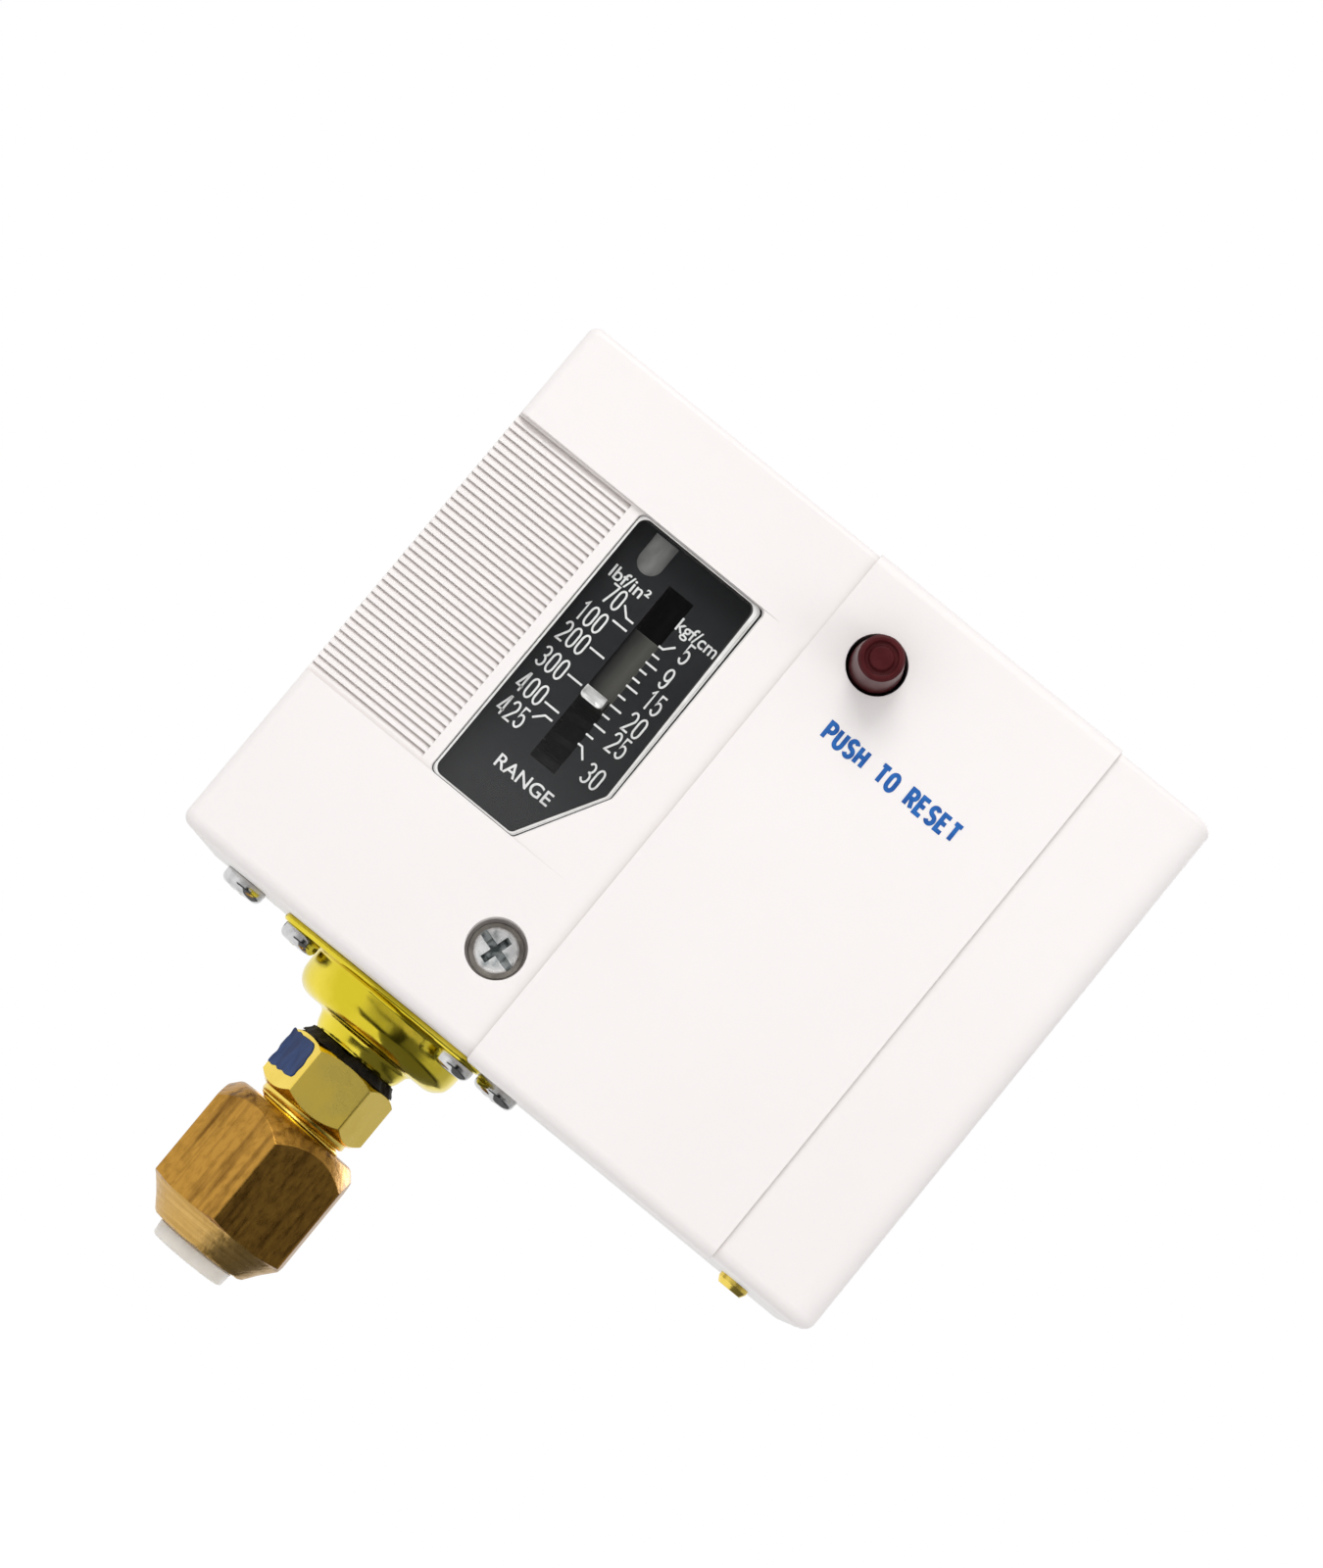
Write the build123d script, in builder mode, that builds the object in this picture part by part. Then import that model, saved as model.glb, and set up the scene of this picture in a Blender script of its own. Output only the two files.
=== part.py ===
from build123d import *
import math
import os

os.makedirs("parts", exist_ok=True)

# All sizes are in millimetres. X runs to the right of the front, Y from front to back,
# Z up. The origin lies between the two mounting holes, on the back face.

# Case
case_width = 84
case_height = 67.6
case_depth = 31
case_wall = 1.2
case_corner = 1.2
half_width = case_width / 2
half_height = case_height / 2
bottom_z = -half_height
floor_z = bottom_z + case_wall

# Clearances
running_clearance = 0.05
fit_clearance = 0.1
moving_gap = 0.3
cut_through = 1.0

# Front cover
cover_depth = 12
cover_wall = 2.0
front_wall = 2.4
front_y = -(case_depth + cover_depth)
front_inside_y = front_y + front_wall
lip_depth = 1.2
lip_wall = 1.2
lip_clearance = 0.2
lip_outside = case_wall + lip_clearance
bottom_edge_radius = 1.4
top_edge_radius = 0.8
right_edge_radius = 3.0

# Sloping panel of the cover, with its ribs and its window
panel_right = -6.7
panel_bottom = -13.5
panel_top = 21.6
panel_depth = 1.1
panel_slope = panel_depth / (panel_right + half_width)
rib_pitch = 0.865
rib_crest = 0.26
rib_count = int((panel_top - panel_bottom) / rib_pitch)
rib_right = -26.8
rib_depth = 0.42
window_left = -25.5
window_right = -8.7
window_cut_x = -14.1
window_cut_z = -3.8
window_corner = 0.8
window_clearance = 0.12
lens_recess = 0.7
lens_edge = 0.55
lens_flange = 1.0
lens_flange_thickness = 1.0

# Raised band of the cover
band_panel_gap = 3.5
band_right_margin = 12.8
band_left = panel_right + band_panel_gap
band_right = half_width - band_right_margin
band_raise = 0.5
band_side_raise = 0.35

# Screws and holes
m3_radius = 1.5
m4_radius = 2.0
m3_head_radius = 2.65
m3_head_height = 1.65
mount_spacing = 48.0

# Cover screw and its recess
cover_screw_x = -8.1
cover_screw_z = bottom_z + 10.3
cover_screw_length = 12.0
cover_screw_head = 2.45
recess_radius = 3.3
recess_depth = 4.6
boss_radius = 5.0

# Pressed steel chassis
chassis_thickness = 1.5
chassis_left_gap = 4.5
chassis_right_gap = 3.5
chassis_left = -half_width + chassis_left_gap
chassis_right = half_width - chassis_right_gap
chassis_back_y = -case_wall
chassis_plate_y = chassis_back_y - chassis_thickness
chassis_floor_z = floor_z + chassis_thickness
chassis_top_z = 24.0
chassis_ceiling_z = chassis_top_z - chassis_thickness
foot_front_y = -case_depth + lip_depth + moving_gap

# Pressure axis: bellows, cup, connector and nut, from the bottom wall down
pressure_x = -13.5
pressure_y = -case_depth + 12.0
bellows_radius = 8.5
bellows_root_radius = 6.3
bellows_sheet = 0.5
bellows_end_wall = 1.0
bellows_folds = 4
bellows_bottom_z = bottom_z - 4.1
bellows_top_z = bottom_z + 5.7
cup_radius = 10.4
cup_wall = 1.1
cup_bottom_z = bottom_z - 5.4
flange_thickness = 0.8
flange_rim = 0.6
flange_lobe_radius = 2.8
flange_screw_head = 2.3
flange_screw_circle = cup_radius + flange_screw_head + 0.2
flange_screw_angles = (-45, -165, 75)
flange_screw_length = 5.0
neck_top_radius = 5.8
neck_radius = 5.25
neck_bore_radius = 3.5
neck_bottom_z = cup_bottom_z - 2.2
seal_height = 1.0
seal_bottom_z = neck_bottom_z - seal_height
hex_flats = 12.0
hex_height = 7.1
hex_bottom_z = seal_bottom_z - hex_height
hex_turn = 6.0
thread_radius = 5.45
thread_length = 11.6
connector_bottom_z = hex_bottom_z - thread_length
connector_bore_radius = 2.0
nut_flats = 17.0
nut_turn = 30.0
nut_hex_gap = 1.4
nut_hex_height = 13.4
nut_nose_height = 3.4
nut_top_z = hex_bottom_z - nut_hex_gap
nut_hex_bottom_z = nut_top_z - nut_hex_height
nut_bottom_z = nut_hex_bottom_z - nut_nose_height
nut_nose_radius = 6.0
tube_hole_radius = 3.3
plug_radius = 4.8
plug_stem_radius = 3.2
plug_head_height = 1.9
plug_bottom_z = nut_bottom_z - plug_head_height

# Scale plate behind the window
plate_front_y = front_y + 4.4
plate_thickness = 0.5
plate_back_y = plate_front_y + plate_thickness
plate_fold_length = 6.6
plate_left = -26.4
plate_right = -8.2
plate_bottom = cover_screw_z + boss_radius + 3.3
plate_screw_spread = 6.0
plate_screw_y = plate_front_y + 4.1
plate_screw_radius = 1.0
slot_left = -18.5
slot_right = -15.2
slot_bottom = -5.4
slot_top = 17.7
notch_x = -21.6
notch_width = 3.0
notch_bottom = 16.9
notch_top = 21.3

# Range screw, nut with pointer, range spring
range_x = -16.9
range_y = -case_depth + 5.0
range_thread_radius = 2.0
range_shank_radius = 2.4
range_head_radius = 3.1
range_hole_radius = 3.6
pointer_z = 3.5
pointer_height = 1.3
pointer_width = 2.7
pointer_reach = 0.8
pointer_flange_radius = 6.0
sleeve_height = 7.9
sleeve_radius = 3.2
guide_width = 4.8
spring_radius = 5.6
spring_wire = 1.5
spring_turns = 5

# Main lever on its pin
lever_pin_x = -half_width + 8.0
lever_pin_radius = 1.5
lever_bottom_z = bottom_z + 17.8
lever_thickness = 2.0
lever_top_z = lever_bottom_z + lever_thickness
lever_z = lever_bottom_z + lever_thickness / 2
lever_hub_radius = 3.0
lever_hub_length = 18.0

# Snap switch, against the right wall and above the end of the lever
switch_length = 37.0
switch_wall_gap = 4.0
switch_height = 14.0
switch_depth = 25.3
switch_right = half_width - switch_wall_gap
switch_left = switch_right - switch_length
switch_bottom = lever_bottom_z + 8.0
switch_top = switch_bottom + switch_height
switch_front_y = chassis_plate_y - switch_depth
plunger_x = switch_left + 5.0
plunger_radius = 1.6
lever_right = plunger_x + 3.0
terminal_pitch = 7.5
terminal_count = 3
terminal_z = switch_bottom + 7.0
terminal_hole_depth = 9.0
pocket_width = 6.6
pocket_depth = 3.0
terminal_places = [switch_right - 8.5 - terminal_pitch * n for n in range(terminal_count)]
switch_screw_places = (
    (switch_left + 7.4, switch_bottom + 6.5),
    (switch_right - 2.7, switch_bottom + 7.0),
)

# Reset button and its lever
button_x = switch_left + 2.7
button_z = half_height - 9.3
button_hole_radius = 3.3
button_radius = 2.9
button_tip_radius = 2.46
button_stand = 6.0
button_travel = 3.0
button_guide_wall = 1.5
button_shoulder_y = front_y + 2.5
stem_radius = 1.5
guide_floor_y = front_y + 12.0
guide_floor = 1.2
cheek_thickness = 1.2
cheek_gap = 1.4
cheek_depth = 6.0
reset_pin_y = chassis_plate_y - 18.3
reset_pin_z = switch_top + 4.0
reset_pin_radius = 0.9
reset_lever_half_width = 1.2
reset_lever_thickness = 1.2
reset_free_play = 0.5

# Foot screws, earth screw and cable bush
foot_right = pressure_x + 19.5
foot_screw_length = 4.6
foot_screw_places = (
    (chassis_left + 2.2, pressure_y + 7.0),
    (foot_right - 5.3, pressure_y + 4.0),
)
earth_x = half_width - 7.9
earth_y = -case_depth + 16.0
earth_radius = 1.85
bush_y = -case_depth + 16.0
bush_z = bottom_z + 13.8
bush_radius = 7.0
bush_rim = 1.6
bush_rim_thickness = 2.2
bush_bore_radius = 5.6

pressure_plane = Plane(origin=(pressure_x, pressure_y, 0), x_dir=(1, 0, 0), z_dir=(0, -1, 0))
pressure_axis = Axis((pressure_x, pressure_y, 0), (0, 0, 1))
range_plane = Plane(origin=(range_x, range_y, 0), x_dir=(1, 0, 0), z_dir=(0, -1, 0))
range_axis = Axis((range_x, range_y, 0), (0, 0, 1))

flange_screw_places = [
    (
        pressure_x + flange_screw_circle * math.cos(math.radians(angle)),
        pressure_y + flange_screw_circle * math.sin(math.radians(angle)),
    )
    for angle in flange_screw_angles
]
plate_screw_places = (
    (range_x - plate_screw_spread, plate_screw_y),
    (range_x + plate_screw_spread, plate_screw_y),
)
mount_places = (-mount_spacing / 2, mount_spacing / 2)
window_outline = (
    (window_left, panel_bottom),
    (window_left, panel_top),
    (window_right, panel_top),
    (window_right, window_cut_z),
    (window_cut_x, panel_bottom),
)


def slab(left, right, front, back, low, high, mode=Mode.ADD):
    """A block between six named faces, in the part that is open."""
    middle = ((left + right) / 2, (front + back) / 2, (low + high) / 2)
    with Locations(middle):
        Box(right - left, abs(back - front), high - low, mode=mode)


def rod(place, length, radius, direction, mode=Mode.ADD):
    """A straight rod or hole that starts at a place and runs along a direction."""
    with BuildSketch(Plane(origin=place, z_dir=direction)) as rod_end:
        Circle(radius)
    extrude(to_extrude=rod_end.sketch, amount=length, mode=mode)


def bottom_hole(place, radius, top_z):
    """A hole through everything at the bottom of the case, up to a height."""
    rod((place[0], place[1], top_z), top_z - bottom_z + cut_through, radius, (0, 0, -1), mode=Mode.SUBTRACT)


def machine_screw(head_radius, head_height, shank_radius, shank_length):
    """A pan-head screw on Z with a cross recess, its head's underside at zero."""
    with BuildPart() as screw:
        with BuildSketch(Plane.XZ):
            Polygon(
                (0, -shank_length),
                (shank_radius * 0.8, -shank_length),
                (shank_radius, -shank_length + shank_radius * 0.33),
                (shank_radius, 0),
                (head_radius, 0),
                (head_radius, head_height * 0.45),
                (head_radius * 0.85, head_height * 0.82),
                (head_radius * 0.55, head_height),
                (0, head_height),
                align=None,
            )
        revolve(axis=Axis.Z)
        with Locations((0, 0, head_height)):
            Box(head_radius * 1.15, head_radius * 0.3, head_height * 1.1, mode=Mode.SUBTRACT)
            Box(head_radius * 0.3, head_radius * 1.15, head_height * 1.1, mode=Mode.SUBTRACT)
    return screw.part


# Rear case, a deep box pressed from steel sheet
with BuildPart() as rear_case:
    slab(-half_width, half_width, -case_depth, 0, bottom_z, half_height)
    fillet(rear_case.edges().filter_by(Axis.Y), case_corner)
    fillet(rear_case.faces().sort_by(Axis.Y)[-1].edges(), case_corner * 0.6)
    slab(
        -half_width + case_wall,
        half_width - case_wall,
        -case_depth - cut_through,
        -case_wall,
        floor_z,
        half_height - case_wall,
        mode=Mode.SUBTRACT,
    )
    for mount_x in mount_places:
        rod((mount_x, cut_through, 0), case_wall + 2 * cut_through, m4_radius, (0, -1, 0), mode=Mode.SUBTRACT)
    bottom_hole((pressure_x, pressure_y), cup_radius - cup_wall, floor_z + cut_through)
    for place in flange_screw_places:
        bottom_hole(place, m3_radius, bottom_z + flange_screw_length)
    for place in foot_screw_places:
        bottom_hole(place, m3_radius, bottom_z + foot_screw_length)
    bottom_hole((earth_x, earth_y), m4_radius, floor_z + cut_through)
    rod((half_width - case_wall - cut_through, bush_y, bush_z), case_wall + 2 * cut_through, bush_radius,
        (1, 0, 0), mode=Mode.SUBTRACT)
    rod((range_x, range_y, half_height - case_wall - cut_through), case_wall + 2 * cut_through,
        range_hole_radius, (0, 0, 1), mode=Mode.SUBTRACT)
rear_case.part.label = "rear_case"
export_step(rear_case.part, "parts/rear_case.step")

# Raised band of the front cover, also a little way round the top and the bottom
with BuildPart() as band:
    slab(
        band_left,
        band_right,
        front_y - band_raise,
        -case_depth,
        bottom_z - band_side_raise,
        half_height + band_side_raise,
    )
    fillet(band.faces().sort_by(Axis.Y)[0].edges().filter_by(Axis.X), bottom_edge_radius)

# Lip of the front cover, which locates it inside the case
with BuildPart() as lip:
    slab(
        -half_width + lip_outside,
        half_width - lip_outside,
        -case_depth - lip_wall,
        -case_depth + lip_depth,
        bottom_z + lip_outside,
        half_height - lip_outside,
    )
    slab(
        -half_width + lip_outside + lip_wall,
        half_width - lip_outside - lip_wall,
        front_inside_y,
        0,
        bottom_z + lip_outside + lip_wall,
        half_height - lip_outside - lip_wall,
        mode=Mode.SUBTRACT,
    )

# Front cover, a moulded tray with a raised band and a sloping ribbed panel
rib_plane = Plane(origin=(-half_width, 0, 0), x_dir=(0, 1, 0), z_dir=(1, 0, 0))
boss_length = foot_front_y - moving_gap - front_inside_y
guide_length = guide_floor_y + guide_floor - front_inside_y
with BuildPart() as front_cover:
    slab(-half_width, half_width, front_y, -case_depth, bottom_z, half_height)
    front_edges = front_cover.faces().sort_by(Axis.Y)[0].edges().filter_by(Axis.Z)
    fillet(front_edges.sort_by(Axis.X)[-1], right_edge_radius)
    front_edges = front_cover.faces().sort_by(Axis.Y)[0].edges().filter_by(Axis.X)
    fillet(front_edges.sort_by(Axis.Z)[0], bottom_edge_radius)
    front_edges = front_cover.faces().sort_by(Axis.Y)[0].edges().filter_by(Axis.X)
    fillet(front_edges.sort_by(Axis.Z)[-1], top_edge_radius)
    fillet(front_cover.edges().filter_by(Axis.Y), case_corner)
    add(band.part)
    slab(
        -half_width + cover_wall,
        half_width - cover_wall,
        front_inside_y,
        0,
        bottom_z + cover_wall,
        half_height - cover_wall,
        mode=Mode.SUBTRACT,
    )
    add(lip.part)
    rod((cover_screw_x, front_inside_y, cover_screw_z), boss_length, boss_radius, (0, 1, 0))
    rod((button_x, front_inside_y, button_z), guide_length, button_hole_radius + button_guide_wall, (0, 1, 0))
    # Sloping panel, deepest at its left end
    with BuildSketch(Plane.XY.offset(panel_bottom)):
        Polygon(
            (panel_right, front_y),
            (-half_width - cut_through, front_y + panel_depth + panel_slope),
            (-half_width - cut_through, front_y - cut_through),
            (panel_right, front_y - cut_through),
            align=None,
        )
    extrude(amount=panel_top - panel_bottom, mode=Mode.SUBTRACT)
    # Each groove starts square under the crest of a rib and runs out on a slope.
    panel_left_y = front_y + panel_depth
    with BuildSketch(rib_plane):
        for rib in range(rib_count):
            groove_top = panel_top - rib_crest - rib * rib_pitch
            groove_bottom = groove_top - rib_pitch + rib_crest
            Polygon(
                (panel_left_y - 0.6, groove_top),
                (panel_left_y + rib_depth, groove_top),
                (panel_left_y, groove_bottom),
                (panel_left_y - 0.6, groove_bottom),
                align=None,
            )
    extrude(
        amount=rib_right + half_width,
        dir=(1, -panel_slope, 0),
        mode=Mode.SUBTRACT,
    )
    with BuildSketch(Plane.XZ.offset(-front_inside_y - cut_through)) as window:
        Polygon(*window_outline, align=None)
        fillet(window.vertices(), window_corner)
    extrude(amount=front_wall + 2 * cut_through, mode=Mode.SUBTRACT)
    rod((cover_screw_x, front_y - cut_through, cover_screw_z), recess_depth + cut_through, recess_radius,
        (0, 1, 0), mode=Mode.SUBTRACT)
    rod((cover_screw_x, front_y, cover_screw_z), front_wall + boss_length + cut_through,
        m3_radius + 2 * fit_clearance, (0, 1, 0), mode=Mode.SUBTRACT)
    rod((button_x, front_y - 2 * cut_through, button_z), guide_floor_y - front_y + 2 * cut_through,
        button_hole_radius, (0, 1, 0), mode=Mode.SUBTRACT)
    rod((button_x, front_y, button_z), front_wall + guide_length + cut_through, stem_radius + fit_clearance,
        (0, 1, 0), mode=Mode.SUBTRACT)
front_cover.part.label = "front_cover"
export_step(front_cover.part, "parts/front_cover.step")

# Window lens, a clear pad in the opening with a flange glued behind it
lens_front_y = front_y + lens_recess
with BuildPart() as window_lens:
    with BuildSketch(Plane.XZ.offset(-front_inside_y)) as lens_pad:
        Polygon(*window_outline, align=None)
        fillet(lens_pad.vertices(), window_corner)
        offset(amount=-window_clearance, kind=Kind.INTERSECTION, mode=Mode.REPLACE)
    extrude(amount=front_inside_y - lens_front_y)
    chamfer(window_lens.faces().sort_by(Axis.Y)[0].edges(), lens_edge)
    with BuildSketch(Plane.XZ.offset(-front_inside_y - lens_flange_thickness)):
        Polygon(*window_outline, align=None)
        offset(amount=lens_flange, kind=Kind.INTERSECTION, mode=Mode.REPLACE)
    extrude(amount=lens_flange_thickness)
window_lens.part.label = "window_lens"
export_step(window_lens.part, "parts/window_lens.step")

# Chassis, one pressed plate with a foot, a top flange and two folded strips
strip_left = cover_screw_x - 5.0
strip_right = cover_screw_x + 2.0
strip_boss_length = 1.2
ear_left = chassis_left
ear_right = lever_pin_x + 4.0
with BuildPart() as chassis:
    slab(chassis_left, chassis_right, chassis_plate_y, chassis_back_y, floor_z, chassis_top_z)
    slab(chassis_left, foot_right, foot_front_y, chassis_back_y, floor_z, chassis_floor_z)
    slab(
        range_x - plate_screw_spread - 5.1,
        plate_right,
        plate_front_y + 1.6,
        chassis_back_y,
        chassis_ceiling_z,
        chassis_top_z,
    )
    strip_back_y = foot_front_y + chassis_thickness
    slab(strip_left, strip_right, foot_front_y, strip_back_y, floor_z, cover_screw_z + 4.5)
    slab(ear_left, ear_right, foot_front_y, strip_back_y, floor_z, lever_z + 4.0)
    rod((cover_screw_x, strip_back_y, cover_screw_z), strip_boss_length, 2.0, (0, 1, 0))
    rod((cover_screw_x, foot_front_y - cut_through, cover_screw_z),
        chassis_thickness + strip_boss_length + 2 * cut_through, m3_radius, (0, 1, 0), mode=Mode.SUBTRACT)
    bottom_hole((pressure_x, pressure_y), cup_radius - cup_wall, chassis_floor_z + cut_through)
    for place in flange_screw_places:
        bottom_hole(place, m3_radius, bottom_z + flange_screw_length)
    for place in foot_screw_places:
        bottom_hole(place, m3_radius, bottom_z + foot_screw_length)
    for mount_x in mount_places:
        rod((mount_x, 0, 0), case_depth, m4_radius * 2, (0, -1, 0), mode=Mode.SUBTRACT)
    rod((lever_pin_x, 0, lever_z), case_depth, lever_pin_radius, (0, -1, 0), mode=Mode.SUBTRACT)
    rod((range_x, range_y, chassis_ceiling_z - cut_through), chassis_thickness + 2 * cut_through,
        range_shank_radius + fit_clearance, (0, 0, 1), mode=Mode.SUBTRACT)
    for place in plate_screw_places:
        rod((place[0], place[1], chassis_ceiling_z - cut_through), chassis_thickness + 2 * cut_through,
            plate_screw_radius, (0, 0, 1), mode=Mode.SUBTRACT)
    for screw_x, screw_z in switch_screw_places:
        rod((screw_x, 0, screw_z), -chassis_plate_y + cut_through, m3_radius, (0, -1, 0), mode=Mode.SUBTRACT)
chassis.part.label = "chassis"
export_step(chassis.part, "parts/chassis.step")

# Two screws that hold the chassis foot to the bottom of the case
foot_screw = machine_screw(m3_head_radius, m3_head_height, m3_radius, foot_screw_length)
with BuildPart() as foot_screws:
    for hole_x, hole_y in foot_screw_places:
        with Locations(Location((hole_x, hole_y, bottom_z), (180, 0, 0))):
            add(foot_screw)
foot_screws.part.label = "foot_screws"
export_step(foot_screws.part, "parts/foot_screws.step")

# Cover screw, deep in its recess
cover_screw_seat_y = front_y + recess_depth
with BuildPart() as cover_screw:
    with Locations(Location((cover_screw_x, cover_screw_seat_y, cover_screw_z), (90, 0, 0))):
        add(machine_screw(cover_screw_head, 1.9, m3_radius, cover_screw_length))
cover_screw.part.label = "cover_screw"
export_step(cover_screw.part, "parts/cover_screw.step")

# Scale plate, a thin bent plate with the pointer's slot
with BuildPart() as scale_plate:
    slab(plate_left, plate_right, plate_front_y, plate_back_y, plate_bottom, chassis_ceiling_z)
    slab(
        plate_left,
        plate_right,
        plate_front_y,
        plate_front_y + plate_fold_length,
        chassis_ceiling_z - plate_thickness,
        chassis_ceiling_z,
    )
    slot_back_y = plate_back_y + cut_through / 2
    slab(slot_left, slot_right, plate_front_y - cut_through, slot_back_y, slot_bottom, slot_top,
         mode=Mode.SUBTRACT)
    notch_round_z = notch_bottom + notch_width / 2
    rod((notch_x, plate_front_y - cut_through, notch_round_z), plate_thickness + 2 * cut_through,
        notch_width / 2, (0, 1, 0), mode=Mode.SUBTRACT)
    slab(
        notch_x - notch_width / 2,
        notch_x + notch_width / 2,
        plate_front_y - cut_through,
        slot_back_y,
        notch_round_z,
        notch_top,
        mode=Mode.SUBTRACT,
    )
    for place in plate_screw_places:
        rod((place[0], place[1], chassis_ceiling_z - plate_thickness - cut_through),
            plate_thickness + 2 * cut_through, plate_screw_radius, (0, 0, 1), mode=Mode.SUBTRACT)
scale_plate.part.label = "scale_plate"
export_step(scale_plate.part, "parts/scale_plate.step")

# Two small screws that hold the scale plate under the chassis flange
plate_screw = machine_screw(1.9, 1.2, plate_screw_radius, chassis_thickness + plate_thickness + 1.2)
with BuildPart() as plate_screws:
    for place in plate_screw_places:
        with Locations(Location((place[0], place[1], chassis_top_z))):
            add(plate_screw)
plate_screws.part.label = "plate_screws"
export_step(plate_screws.part, "parts/plate_screws.step")

# Range screw, hung in the chassis flange with its head in the hole of the case
range_screw_bottom = pointer_z - 6.5
range_relief = 1.2
range_bevel = 0.4
range_head_bottom = chassis_top_z + moving_gap
range_head_top = half_height - 0.4
with BuildPart() as range_screw:
    with BuildSketch(range_plane):
        Polygon(
            (0, range_screw_bottom),
            (range_thread_radius - range_bevel, range_screw_bottom),
            (range_thread_radius, range_screw_bottom + range_bevel),
            (range_thread_radius, chassis_ceiling_z - range_relief - range_bevel),
            (range_shank_radius, chassis_ceiling_z - range_relief),
            (range_shank_radius, range_head_bottom),
            (range_head_radius, range_head_bottom),
            (range_head_radius, range_head_top - range_bevel),
            (range_head_radius - range_bevel, range_head_top),
            (0, range_head_top),
            align=None,
        )
    revolve(axis=range_axis)
    slab(
        range_x - 0.5,
        range_x + 0.5,
        range_y - 2 * range_head_radius,
        range_y + 2 * range_head_radius,
        range_head_top - 1.6,
        range_head_top + cut_through,
        mode=Mode.SUBTRACT,
    )
range_screw.part.label = "range_screw"
export_step(range_screw.part, "parts/range_screw.step")

# Retaining ring of the range screw, under the chassis flange
ring_radius = 4.2
ring_thickness = 0.8
ring_opening = 1.6
ring_top = chassis_ceiling_z - moving_gap
with BuildPart() as range_ring:
    with BuildSketch(range_plane):
        Polygon(
            (range_shank_radius, ring_top - ring_thickness),
            (ring_radius, ring_top - ring_thickness),
            (ring_radius, ring_top),
            (range_shank_radius, ring_top),
            align=None,
        )
    revolve(axis=range_axis)
    slab(
        range_x - ring_opening,
        range_x + ring_opening,
        range_y,
        range_y + 2 * ring_radius,
        ring_top - 2 * ring_thickness,
        ring_top + cut_through,
        mode=Mode.SUBTRACT,
    )
range_ring.part.label = "range_ring"
export_step(range_ring.part, "parts/range_ring.step")

# Pointer nut: flange on the spring, long sleeve, guide rib and the bright tab
flange_low = pointer_z - pointer_height / 2
flange_high = pointer_z + pointer_height / 2
with BuildPart() as pointer_nut:
    rod((range_x, range_y, flange_low), pointer_height, pointer_flange_radius, (0, 0, 1))
    rod((range_x, range_y, flange_high), sleeve_height, sleeve_radius, (0, 0, 1))
    slab(
        range_x - guide_width / 2,
        range_x + guide_width / 2,
        plate_back_y + moving_gap,
        range_y,
        flange_low,
        flange_high + sleeve_height,
    )
    slab(
        range_x - pointer_width / 2,
        range_x + pointer_width / 2,
        plate_front_y - pointer_reach,
        range_y,
        flange_low,
        flange_high,
    )
    rod((range_x, range_y, flange_low - cut_through), pointer_height + sleeve_height + 2 * cut_through,
        range_thread_radius + running_clearance, (0, 0, 1), mode=Mode.SUBTRACT)
pointer_nut.part.label = "pointer_nut"
export_step(pointer_nut.part, "parts/pointer_nut.step")

# Range spring, a closed coil between the nut's flange and the seat on the lever
seat_thickness = 1.2
seat_top_z = lever_top_z + seat_thickness
spring_low = seat_top_z + spring_wire / 2
spring_high = flange_low - spring_wire / 2
spring_mean = spring_radius - spring_wire / 2
with BuildPart() as range_spring:
    with BuildLine() as coil:
        Helix(
            pitch=(spring_high - spring_low) / spring_turns,
            height=spring_high - spring_low,
            radius=spring_mean,
            center=(range_x, range_y, spring_low),
        )
    with BuildSketch(Plane(origin=coil.line @ 0, z_dir=coil.line % 0)):
        RegularPolygon(spring_wire / 2, 6)
    sweep(path=coil.line, is_frenet=True)
range_spring.part.label = "range_spring"
export_step(range_spring.part, "parts/range_spring.step")

# Spring seat riveted into the lever, with a spigot inside the coil
rivet_radius = 2.0
seat_radius = spring_radius + 0.6
spigot_radius = spring_mean - spring_wire
spigot_height = 2.8
with BuildPart() as spring_seat:
    with BuildSketch(range_plane):
        Polygon(
            (0, lever_bottom_z + 0.2),
            (rivet_radius, lever_bottom_z + 0.2),
            (rivet_radius, lever_top_z),
            (seat_radius, lever_top_z),
            (seat_radius, seat_top_z),
            (spigot_radius, seat_top_z),
            (spigot_radius, seat_top_z + spigot_height - 0.6),
            (spigot_radius - 0.6, seat_top_z + spigot_height),
            (0, seat_top_z + spigot_height),
            align=None,
        )
    revolve(axis=range_axis)
spring_seat.part.label = "spring_seat"
export_step(spring_seat.part, "parts/spring_seat.step")

# Main lever, a stamped plate with a rolled knuckle on the pin
with BuildPart() as main_lever:
    with BuildSketch(Plane.XY.offset(lever_bottom_z)):
        Polygon(
            (lever_pin_x, pressure_y - 7.0),
            (lever_pin_x + 7.0, pressure_y - 7.0),
            (lever_pin_x + 10.0, range_y - 7.0),
            (range_x + 7.9, range_y - 7.0),
            (lever_right - 11.0, pressure_y - 5.0),
            (lever_right, pressure_y - 4.0),
            (lever_right, pressure_y + 4.0),
            (lever_right - 11.0, pressure_y + 5.0),
            (range_x + 7.9, pressure_y + 10.6),
            (lever_pin_x, pressure_y + 10.6),
            align=None,
        )
    extrude(amount=lever_thickness)
    rod((lever_pin_x, pressure_y - 7.5, lever_z), lever_hub_length, lever_hub_radius, (0, 1, 0))
    rod((lever_pin_x, -case_depth, lever_z), case_depth, lever_pin_radius + running_clearance, (0, 1, 0),
        mode=Mode.SUBTRACT)
    rod((range_x, range_y, lever_bottom_z - cut_through), lever_thickness + 2 * cut_through, rivet_radius,
        (0, 0, 1), mode=Mode.SUBTRACT)
main_lever.part.label = "main_lever"
export_step(main_lever.part, "parts/main_lever.step")

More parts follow.
